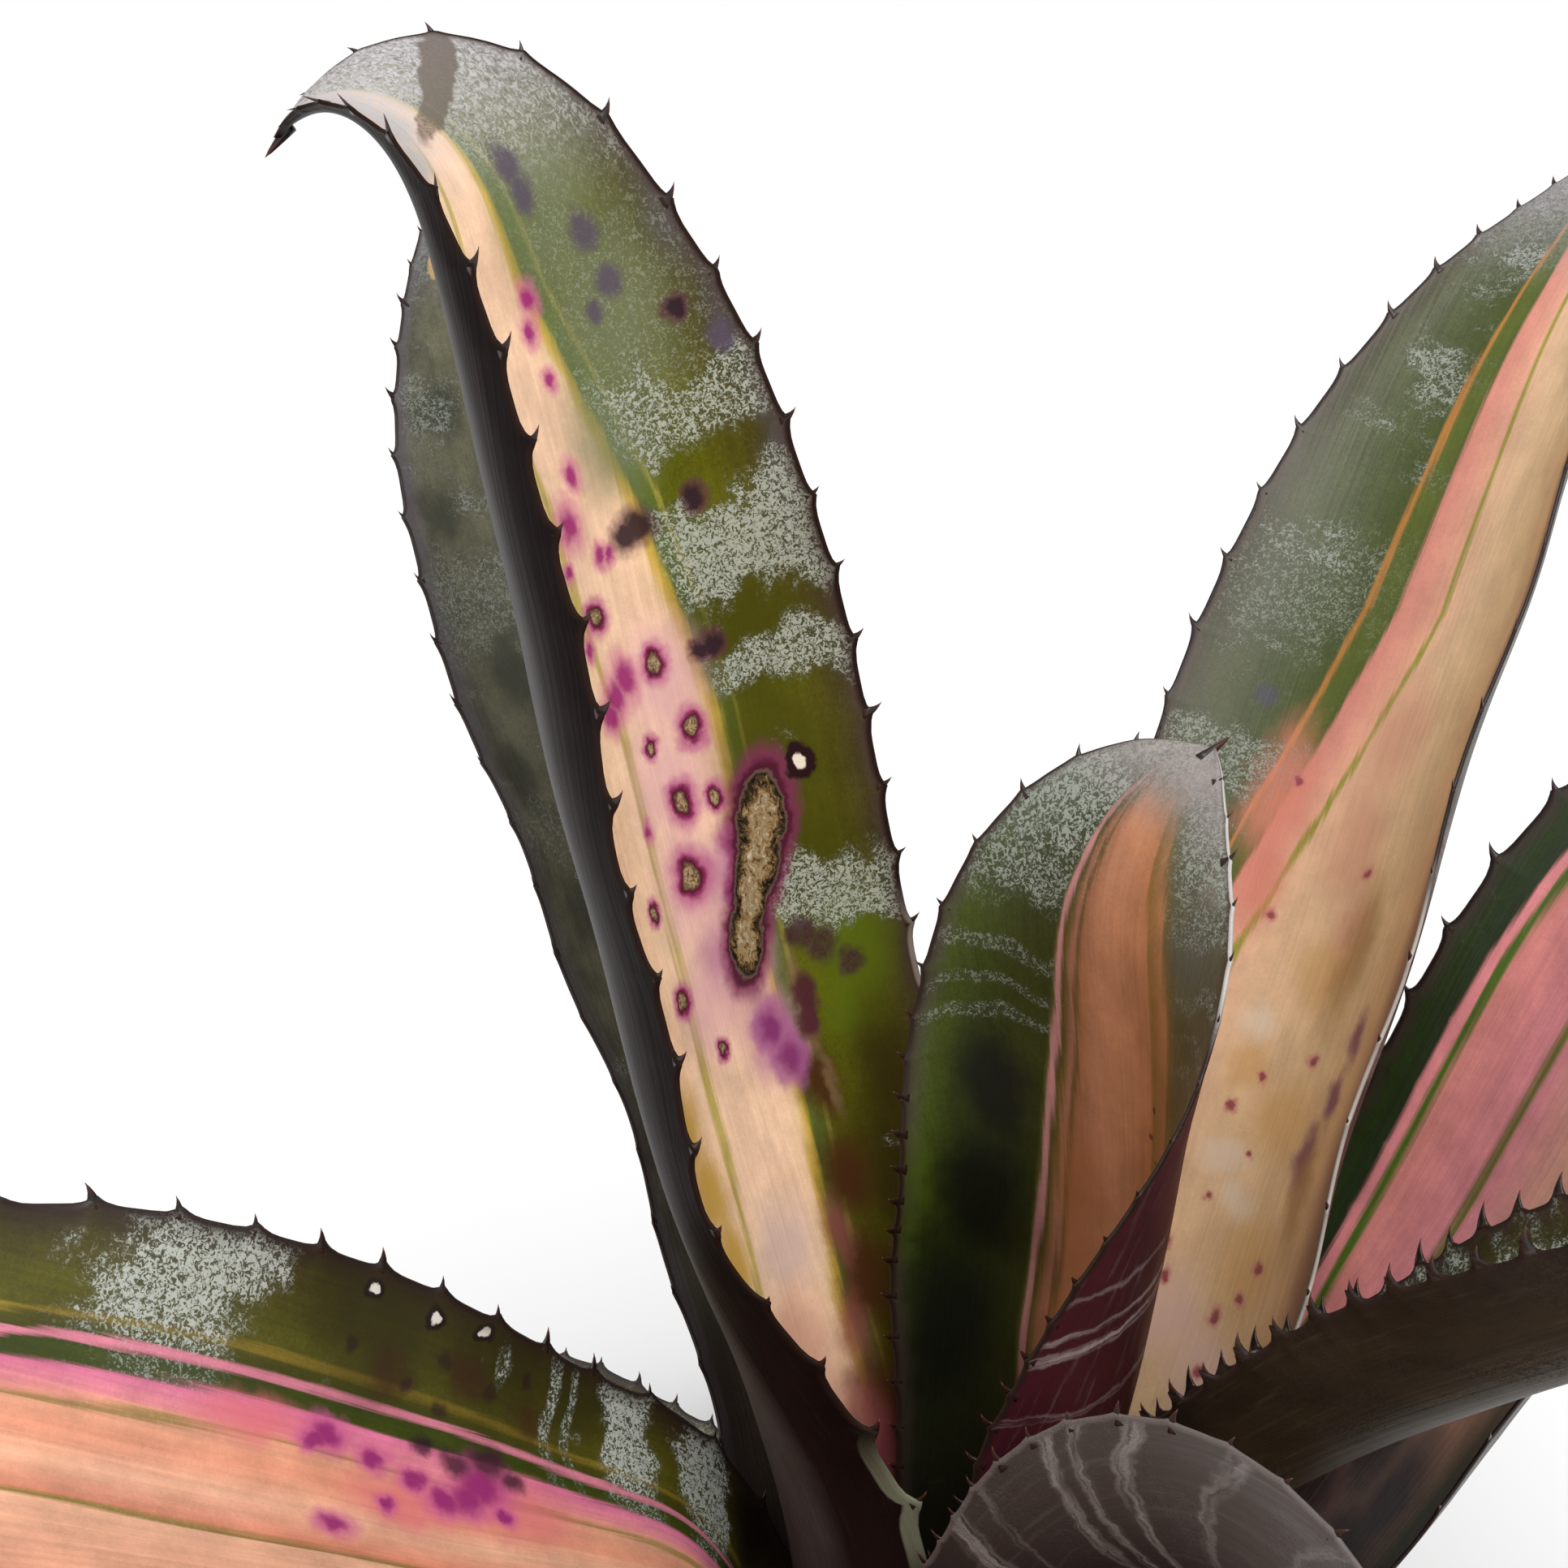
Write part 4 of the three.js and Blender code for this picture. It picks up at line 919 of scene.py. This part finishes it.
# The striped leaves are the grown ones: peach and pink bands between thin olive lines, with the
# green outer third felted in grey wool.
grow_leaf(
    "left_arching_leaf",
    leaf_skin(
        "left_arching_leaf_skin",
        face=[(-1, "#32271a", 0.8), (-0.93, "#3e3616", 1), (-0.85, "#4c4612", 1), (-0.72, "#545212", 1),
              (-0.67, "#565214", 0.9), (-0.652, "#8a7426", 0.4), (-0.645, "#7c6a22", 0.4),
              (-0.63, "#4a4811", 0.6), (-0.6, "#444511", 0.5), (-0.592, "#de8498", 0.1),
              (-0.574, "#de8498", 0.1), (-0.564, "#3a440e", 0.3), (-0.51, "#3c460e", 0.3),
              (-0.498, "#e0789c", 0.05), (-0.43, "#e48c90", 0.05), (-0.41, "#e89c84", 0.05),
              (-0.395, "#8a7a34", 0.05), (-0.38, "#e8a484", 0.05), (-0.3, "#ea9c7c", 0.05),
              (-0.2, "#ecb292", 0.05), (-0.09, "#e08c70", 0.05), (-0.07, "#857632", 0.05),
              (-0.055, "#eab090", 0.05), (0.2, "#e8a484", 0.05), (0.225, "#6a6a28", 0.05),
              (0.25, "#e29a86", 0.05), (0.5, "#dc8a80", 0.1), (0.56, "#4a561a", 0.8), (1, "#403618", 0.8)],
        back=[(-1, "#3c3830"), (0, "#4a4a40"), (1, "#38342c")], wool="#bac0b6", wool_share=0.9,
        wool_level=0.66, rim=("#2e2115", 0.92, 0.6),
        bands_behind=[(44, 3, 0.5), (71, 4, 0.5), (103, 4, 0.4)], drip_lean=5.0, streaks=0.16, foot_to=6,
        bands=[(26.5, 4.4, 1.1), (13, 4.0, 1.1), (95, 10, 0.9), (41, 1.3, 0.45), (37, 0.8, 0.4)],
        stains_or_shade=[
            stain_or_shade("#2c2a0c", [(-32, 68, 9), (-32, 50, 9), (-31, 36, 7)], 0.8, 1.5),
            stain_or_shade("#3c1c14", [(-27, 66, 3), (-29, 54, 3), (-26, 44, 3)], 0.6, 1.2),
            stain_or_shade("#e0707a", [(-17, 84, 3), (-12, 62, 4), (-14, 46, 4)], 0.7, 2.5),
            stain_or_shade("#141008", [(-30, 2, 9), (-14, 0, 9)], 0.95, 0.8),
        ],
        marks=[
            spots([(-17.6, 74.3, 1.5), (-16.6, 76, 1.1), (-16.3, 67.3, 1.2), (-15.2, 61.3, 1.2),
                   (-16.1, 51.2, 2.3), (-14.3, 53.5, 1.9), (-13.4, 57, 1.6), (-6.8, 73.6, 1.2),
                   (-13, 48, 1.0), (-11, 66, 0.8)],
                  [("#cc5a90", 2.4, 0.9, 0.75), ("#94246c", 1.3, 0.4, 0.9)], 1.5),
            spots([(-18.6, 55, 1.4), (-19.5, 50, 1.6), (-18, 46, 1.2), (-19.8, 60, 0.9)],
                  [("#2c1420", 1.8, 0.5, 0.85)], 1.6),
            spots([(-35.5, 70.7, 1.25), (-34.8, 60.6, 1.25), (-35.0, 52.6, 1.1)],
                  [("#1c140f", 1.3, 0.9, 1.0), ("#e4e0d6", 0.6, 0.42, 1.0)], 1.3),
            spots([(-30, 58, 1.2), (-28, 50, 1.0), (-31, 44, 0.9), (-26, 63, 0.9), (-29, 72, 0.9),
                   (-24.5, 58, 1.3)], [("#2c1a16", 1.7, 0.5, 0.75)]),
        ],
    ),
    dict(shell=5, azimuth=219, neck=74, lean=(61.5, 62.7, 80.4), bend=0.64, length=160, half=39.1,
         swing=-21.7, twist=29.8, channel=(29.5, 55.2), wrap=90),
    pitch=9.6, arcs=(1.2, 1.2),
)
grow_leaf(
    "front_leaf",
    leaf_skin(
        "front_leaf_skin",
        face=[(-1, "#3a2c1c"), (-0.85, "#465016"), (-0.6, "#4f5a1a"), (-0.57, "#b08c34", 0.4),
              (-0.54, "#465016"), (-0.42, "#465016", 0.5), (-0.4, "#e29a86", 0.1), (-0.1, "#eab090", 0.05),
              (-0.07, "#77702c", 0.05), (-0.05, "#e8a080", 0.05), (0.3, "#eab898", 0.05),
              (0.33, "#77702c", 0.05), (0.36, "#e07c9c", 0.05), (0.5, "#e07c9c", 0.1),
              (0.53, "#465016", 0.8), (1, "#3a2c1c")],
        back=[(-1, "#3c3830"), (0, "#4a4a40"), (1, "#38342c")], wool="#b4b9b0", wool_level=0.6,
        bands=[(40, 4, 0.9), (80, 4, 0.7), (120, 5, 0.8)], streaks=0.16,
    ),
    dict(shell=7, azimuth=262, neck=58.7, lean=(62, 82, 102), length=180, half=37, channel=(30, 38)),
)
grow_leaf(
    "right_back_leaf",
    leaf_skin(
        "right_back_leaf_skin",
        face=[(-1, "#6a5a50", 0.2), (-0.96, "#70503f", 0.1), (-0.86, "#a87458", 0.05),
              (-0.76, "#dcae7c", 0.05), (-0.5, "#e6c090", 0.05), (-0.2, "#ecc49a", 0.05),
              (-0.04, "#ecbc98", 0.05), (-0.022, "#a09838", 0.1), (-0.01, "#a09838", 0.1),
              (0.006, "#ecae90", 0.05), (0.12, "#e09884", 0.05), (0.2, "#d88c7c", 0.05),
              (0.22, "#4c5a1a", 0.3), (0.25, "#56611f", 0.3), (0.325, "#56611f", 0.3),
              (0.34, "#b07838", 0.1), (0.352, "#b07838", 0.1), (0.368, "#434e1c", 0.8), (0.6, "#4c5430", 1),
              (0.8, "#54583c", 1), (1, "#453f30", 0.8)],
        back=[(-1, "#3a352c"), (0, "#4a463c"), (1, "#38332a")], wool="#9aa094", wool_level=0.56,
        bands=[(118, 5, 0.7), (148, 9, 0.4)], rim=("#5a4a3e", 0.93, 0.5), foot="#c09080", foot_to=22,
        bands_behind=[(60, 3, 0.5), (84, 4, 0.45), (112, 4, 0.5), (141, 5, 0.4), (170, 5, 0.35)],
        drip_lean=5.0, mottle=0.12, streaks=0.05,
        stains_or_shade=[
            stain_or_shade("#dc8670", [(13, 116, 5), (11, 102, 3.5)], 0.8, 2.2),
            stain_or_shade("#d89a7c", [(-3, 112, 6), (-4, 128, 6), (-6, 98, 4)], 0.7, 1.6),
            stain_or_shade("#d9a766", [(-4, 92, 6), (-6, 70, 7), (-9, 50, 7), (3, 76, 4)], 0.65, 0.9),
            stain_or_shade("#f0dcc4", [(2, 62, 5), (-2, 56, 4), (4, 82, 4)], 0.6, 0.7),
            stain_or_shade("#ecc4b4", [(2, 38, 7), (-6, 32, 7)], 0.8, 1.0),
            stain_or_shade("#7c3c5c", [(-14, 67, 2.6), (-17.5, 84, 2.2), (-16, 76, 2)], 0.9, 1.8),
            stain_or_shade("#a0743c", [(-9, 96, 4), (-16, 62, 3)], 0.7, 3.0),
        ],
        marks=[
            spots([(7.1, 47.3, 0.8), (5.5, 42.7, 0.8), (-4.9, 40.7, 1.0), (-11.1, 49.6, 0.9),
                   (3.9, 69.7, 0.8), (-5.1, 32, 0.9), (0.5, 75, 0.7), (-9, 44, 0.8), (3, 56, 0.6),
                   (-2, 64, 0.6), (8, 98, 0.8), (-6, 108, 0.8), (11, 119, 0.8), (-8, 80, 0.9)],
                  [("#cf7878", 2.0, 1.0, 0.6), ("#8a2f3c", 1.2, 0.5, 0.8)]),
            spots([(20, 130, 1.6)], [("#4a4658", 1.6, 0.5, 0.7)]),
        ],
        # The pale line along one margin is a painted highlight.
        rim_highlights=[(-1, 0.98, 20, 100, "#b8b0a8")],
    ),
    dict(shell=8, azimuth=38.8, neck=66.5, lean=(24.4, 25.8, 50), length=238, half=34.7, swing=0.9,
         twist=8.7, channel=(31, 35), wrap=93),
    seam=((0.2, 0.6), (0.39, 0.36), (0.54, 0.05), (0.62, -0.1), (1, -0.1)), pitch=11.5, arcs=(0.8, 0.8),
)
grow_leaf(
    "right_leaf",
    leaf_skin(
        "right_leaf_skin",
        face=[(-1, "#3a2c1c"), (-0.7, "#465016"), (-0.4, "#d8a080", 0.05), (0, "#e0a890", 0.05),
              (0.3, "#dc8a90", 0.05), (0.33, "#5f6a22", 0.05), (0.37, "#dc8a90", 0.05),
              (0.66, "#e08c84", 0.05), (0.69, "#4f6a1e", 0.1), (0.715, "#4f6a1e", 0.1),
              (0.73, "#e88f92", 0.05), (0.765, "#e88f92", 0.05), (0.785, "#26321a", 0.5),
              (0.9, "#2a3a16", 0.7), (1, "#2c2a1c", 0.7)],
        back=[(-1, "#3a352c"), (0, "#4a463c"), (1, "#38332a")], wool="#9a9f8c", wool_level=0.62,
        bands_behind=[(52, 3, 0.5), (79, 4, 0.45), (108, 4, 0.5), (139, 4, 0.4)], drip_lean=-5.0,
        # The dark foot and the near-black patches above it are painted shade at the foot of the leaf.
        foot="#2a1713", foot_to=56,
        stains_or_shade=[stain_or_shade("#20120e",
                      [(12, 53, 7), (2, 50, 9), (-10, 49, 9), (22, 45, 7), (9, 40, 9), (-8, 37, 11),
                       (22, 33, 9)], 0.95, 1.2)],
    ),
    dict(shell=9, azimuth=3, neck=52, lean=(32.5, 25.5, 85), length=193.5, half=34.5, swing=9.2,
         twist=-14.2, channel=(44.5, 32.1)),
)


# The back left leaf has no pale stripe: it is a mottled dark grey-green, with dry wool all over.
grow_leaf(
    "back_left_leaf",
    leaf_skin(
        "back_left_leaf_skin",
        face=[(-1, "#5c5850", 0.8), (-0.7, "#605e4e"), (-0.2, "#66644f"), (0.2, "#626048"),
              (0.7, "#666450"), (1, "#5c5656", 0.8)],
        back=[(-1, "#3a3832"), (0, "#4a463e"), (1, "#34302a")], wool="#8f958a", wool_share=0.7,
        wool_level=0.56, dry="#77767c", dry_from=0.95,
        bands_behind=[(64, 3, 0.45), (92, 5, 0.4), (124, 4, 0.45), (158, 6, 0.4)], drip_lean=4.0,
        mottle=0.35, rim=("#625a60", 0.8, 0.6), foot="#3a302c", foot_to=60,
        bands=[(152, 8, 0.6), (112, 6, 0.4)],
        stains_or_shade=[stain_or_shade("#34372a", [(8, 184, 4), (14, 168, 4), (10, 140, 6), (18, 124, 5), (12, 100, 6)],
                      0.8)],
        # The small yellowish spot near the tip is a painted highlight.
        marks=[spots([(5, 207, 0.8)], [("#c8a870", 1.2, 0.8, 0.9)], 3.0)],
    ),
    dict(shell=6, azimuth=120.5, neck=68.7, lean=(32, 32, 2.5), length=219.5, half=27.2, swing=26,
         twist=31.3, channel=(25.4, 33.4), wrap=93),
)


# Five old leaves hang low round the plant and rest their tips on the ground. They have faded
# to olive and straw, with brown tips.
OLD_LEAVES = {
    "low_left_leaf": dict(shell=10, azimuth=184, neck=53.3, lean=(75.5, 96, 100), length=185, half=37,
                          channel=(30, 40)),
    "low_right_leaf": dict(shell=11, azimuth=316, neck=50, lean=(83, 129.7, 125), length=175, half=36,
                           channel=(30, 44)),
    "low_back_leaf": dict(shell=12, azimuth=88, neck=48, lean=(84, 127.4, 122), length=178, half=36,
                          channel=(34, 50)),
    "low_front_leaf": dict(shell=13, azimuth=234, neck=45, lean=(82, 127.8, 124), length=170, half=36,
                           channel=(32, 46)),
    "low_back_left_leaf": dict(shell=14, azimuth=134, neck=41.6, lean=(90, 108, 98), length=160, half=31,
                               channel=(70, 70)),
}
old_skin = leaf_skin(
    "old_leaf_skin",
    face=[(-1, "#4a3a24"), (-0.8, "#5c5a2c"), (-0.5, "#63652e"), (-0.47, "#b89a50"), (-0.44, "#5c5f2a"),
          (-0.3, "#5c5f2a"), (-0.27, "#cf9c74", 0.3), (0.0, "#d8ab80", 0.3), (0.03, "#77733a", 0.3),
          (0.06, "#d0a078", 0.3), (0.25, "#cf9878", 0.3), (0.28, "#62652e"), (0.7, "#5a5c2a"),
          (1, "#4a3a24")],
    back=[(-1, "#4a4032"), (0, "#5a5440"), (1, "#4a4032")], wool="#a6a894", wool_share=0.7, dry="#7d6248",
    dry_from=0.88, foot="#6a4434", bands=[(50, 4, 0.7), (90, 5, 0.7), (125, 4, 0.7)], streaks=0.25,
    mottle=0.22,
)
for name, sizes in OLD_LEAVES.items():
    grow_leaf(name, old_skin, sizes, row=2.2, columns=29)


# The stage is a plain pale floor under soft studio light, with nothing else in it. The floor is
# matt paper, with hardly any gloss.
HALF_FLOOR = 6.0
corners = [(-HALF_FLOOR, -HALF_FLOOR, 0), (HALF_FLOOR, -HALF_FLOOR, 0), (HALF_FLOOR, HALF_FLOOR, 0),
           (-HALF_FLOOR, HALF_FLOOR, 0)]
floor_mesh = bpy.data.meshes.new("floor")
floor_mesh.from_pydata(corners, [], [(0, 1, 2, 3)])
floor = bpy.data.objects.new("floor", floor_mesh)
studio.collection.objects.link(floor)
paper, tree = new_material("floor_paper")
matt = {"Base Color": linear("#fafafa"), "Roughness": 0.9, "Specular IOR Level": 0.1}
add(tree, "OutputMaterial", {"Surface": add(tree, "BsdfPrincipled", matt)})
floor_mesh.materials.append(paper)

# The room is white to look at, but gives only part of the light; a broad lamp overhead gives
# the rest, so the deep cups between the leaves go dark.
ROOM_LIGHT = 0.55
LAMP_STRENGTH = 2.4
LAMP_BREADTH = math.radians(50)
LAMP_TILT = (math.radians(38), math.radians(10), 0)
world = bpy.data.worlds.new("studio")
studio.world = world
world.use_nodes = True
tree = world.node_tree
tree.nodes.clear()
seen = add(tree, "LightPath", out="Is Camera Ray")
level = add(tree, "MapRange", {"Value": seen, "To Min": ROOM_LIGHT})
room = add(tree, "Background", {"Color": (1, 1, 1, 1), "Strength": level})
add(tree, "OutputWorld", {"Surface": room})
lamp = bpy.data.objects.new("overhead_lamp", bpy.data.lights.new("overhead_lamp", "SUN"))
lamp.data.energy = LAMP_STRENGTH
lamp.data.angle = LAMP_BREADTH
lamp.rotation_euler = LAMP_TILT
studio.collection.objects.link(lamp)
studio.view_settings.view_transform = "Standard"
studio.view_settings.look = "None"
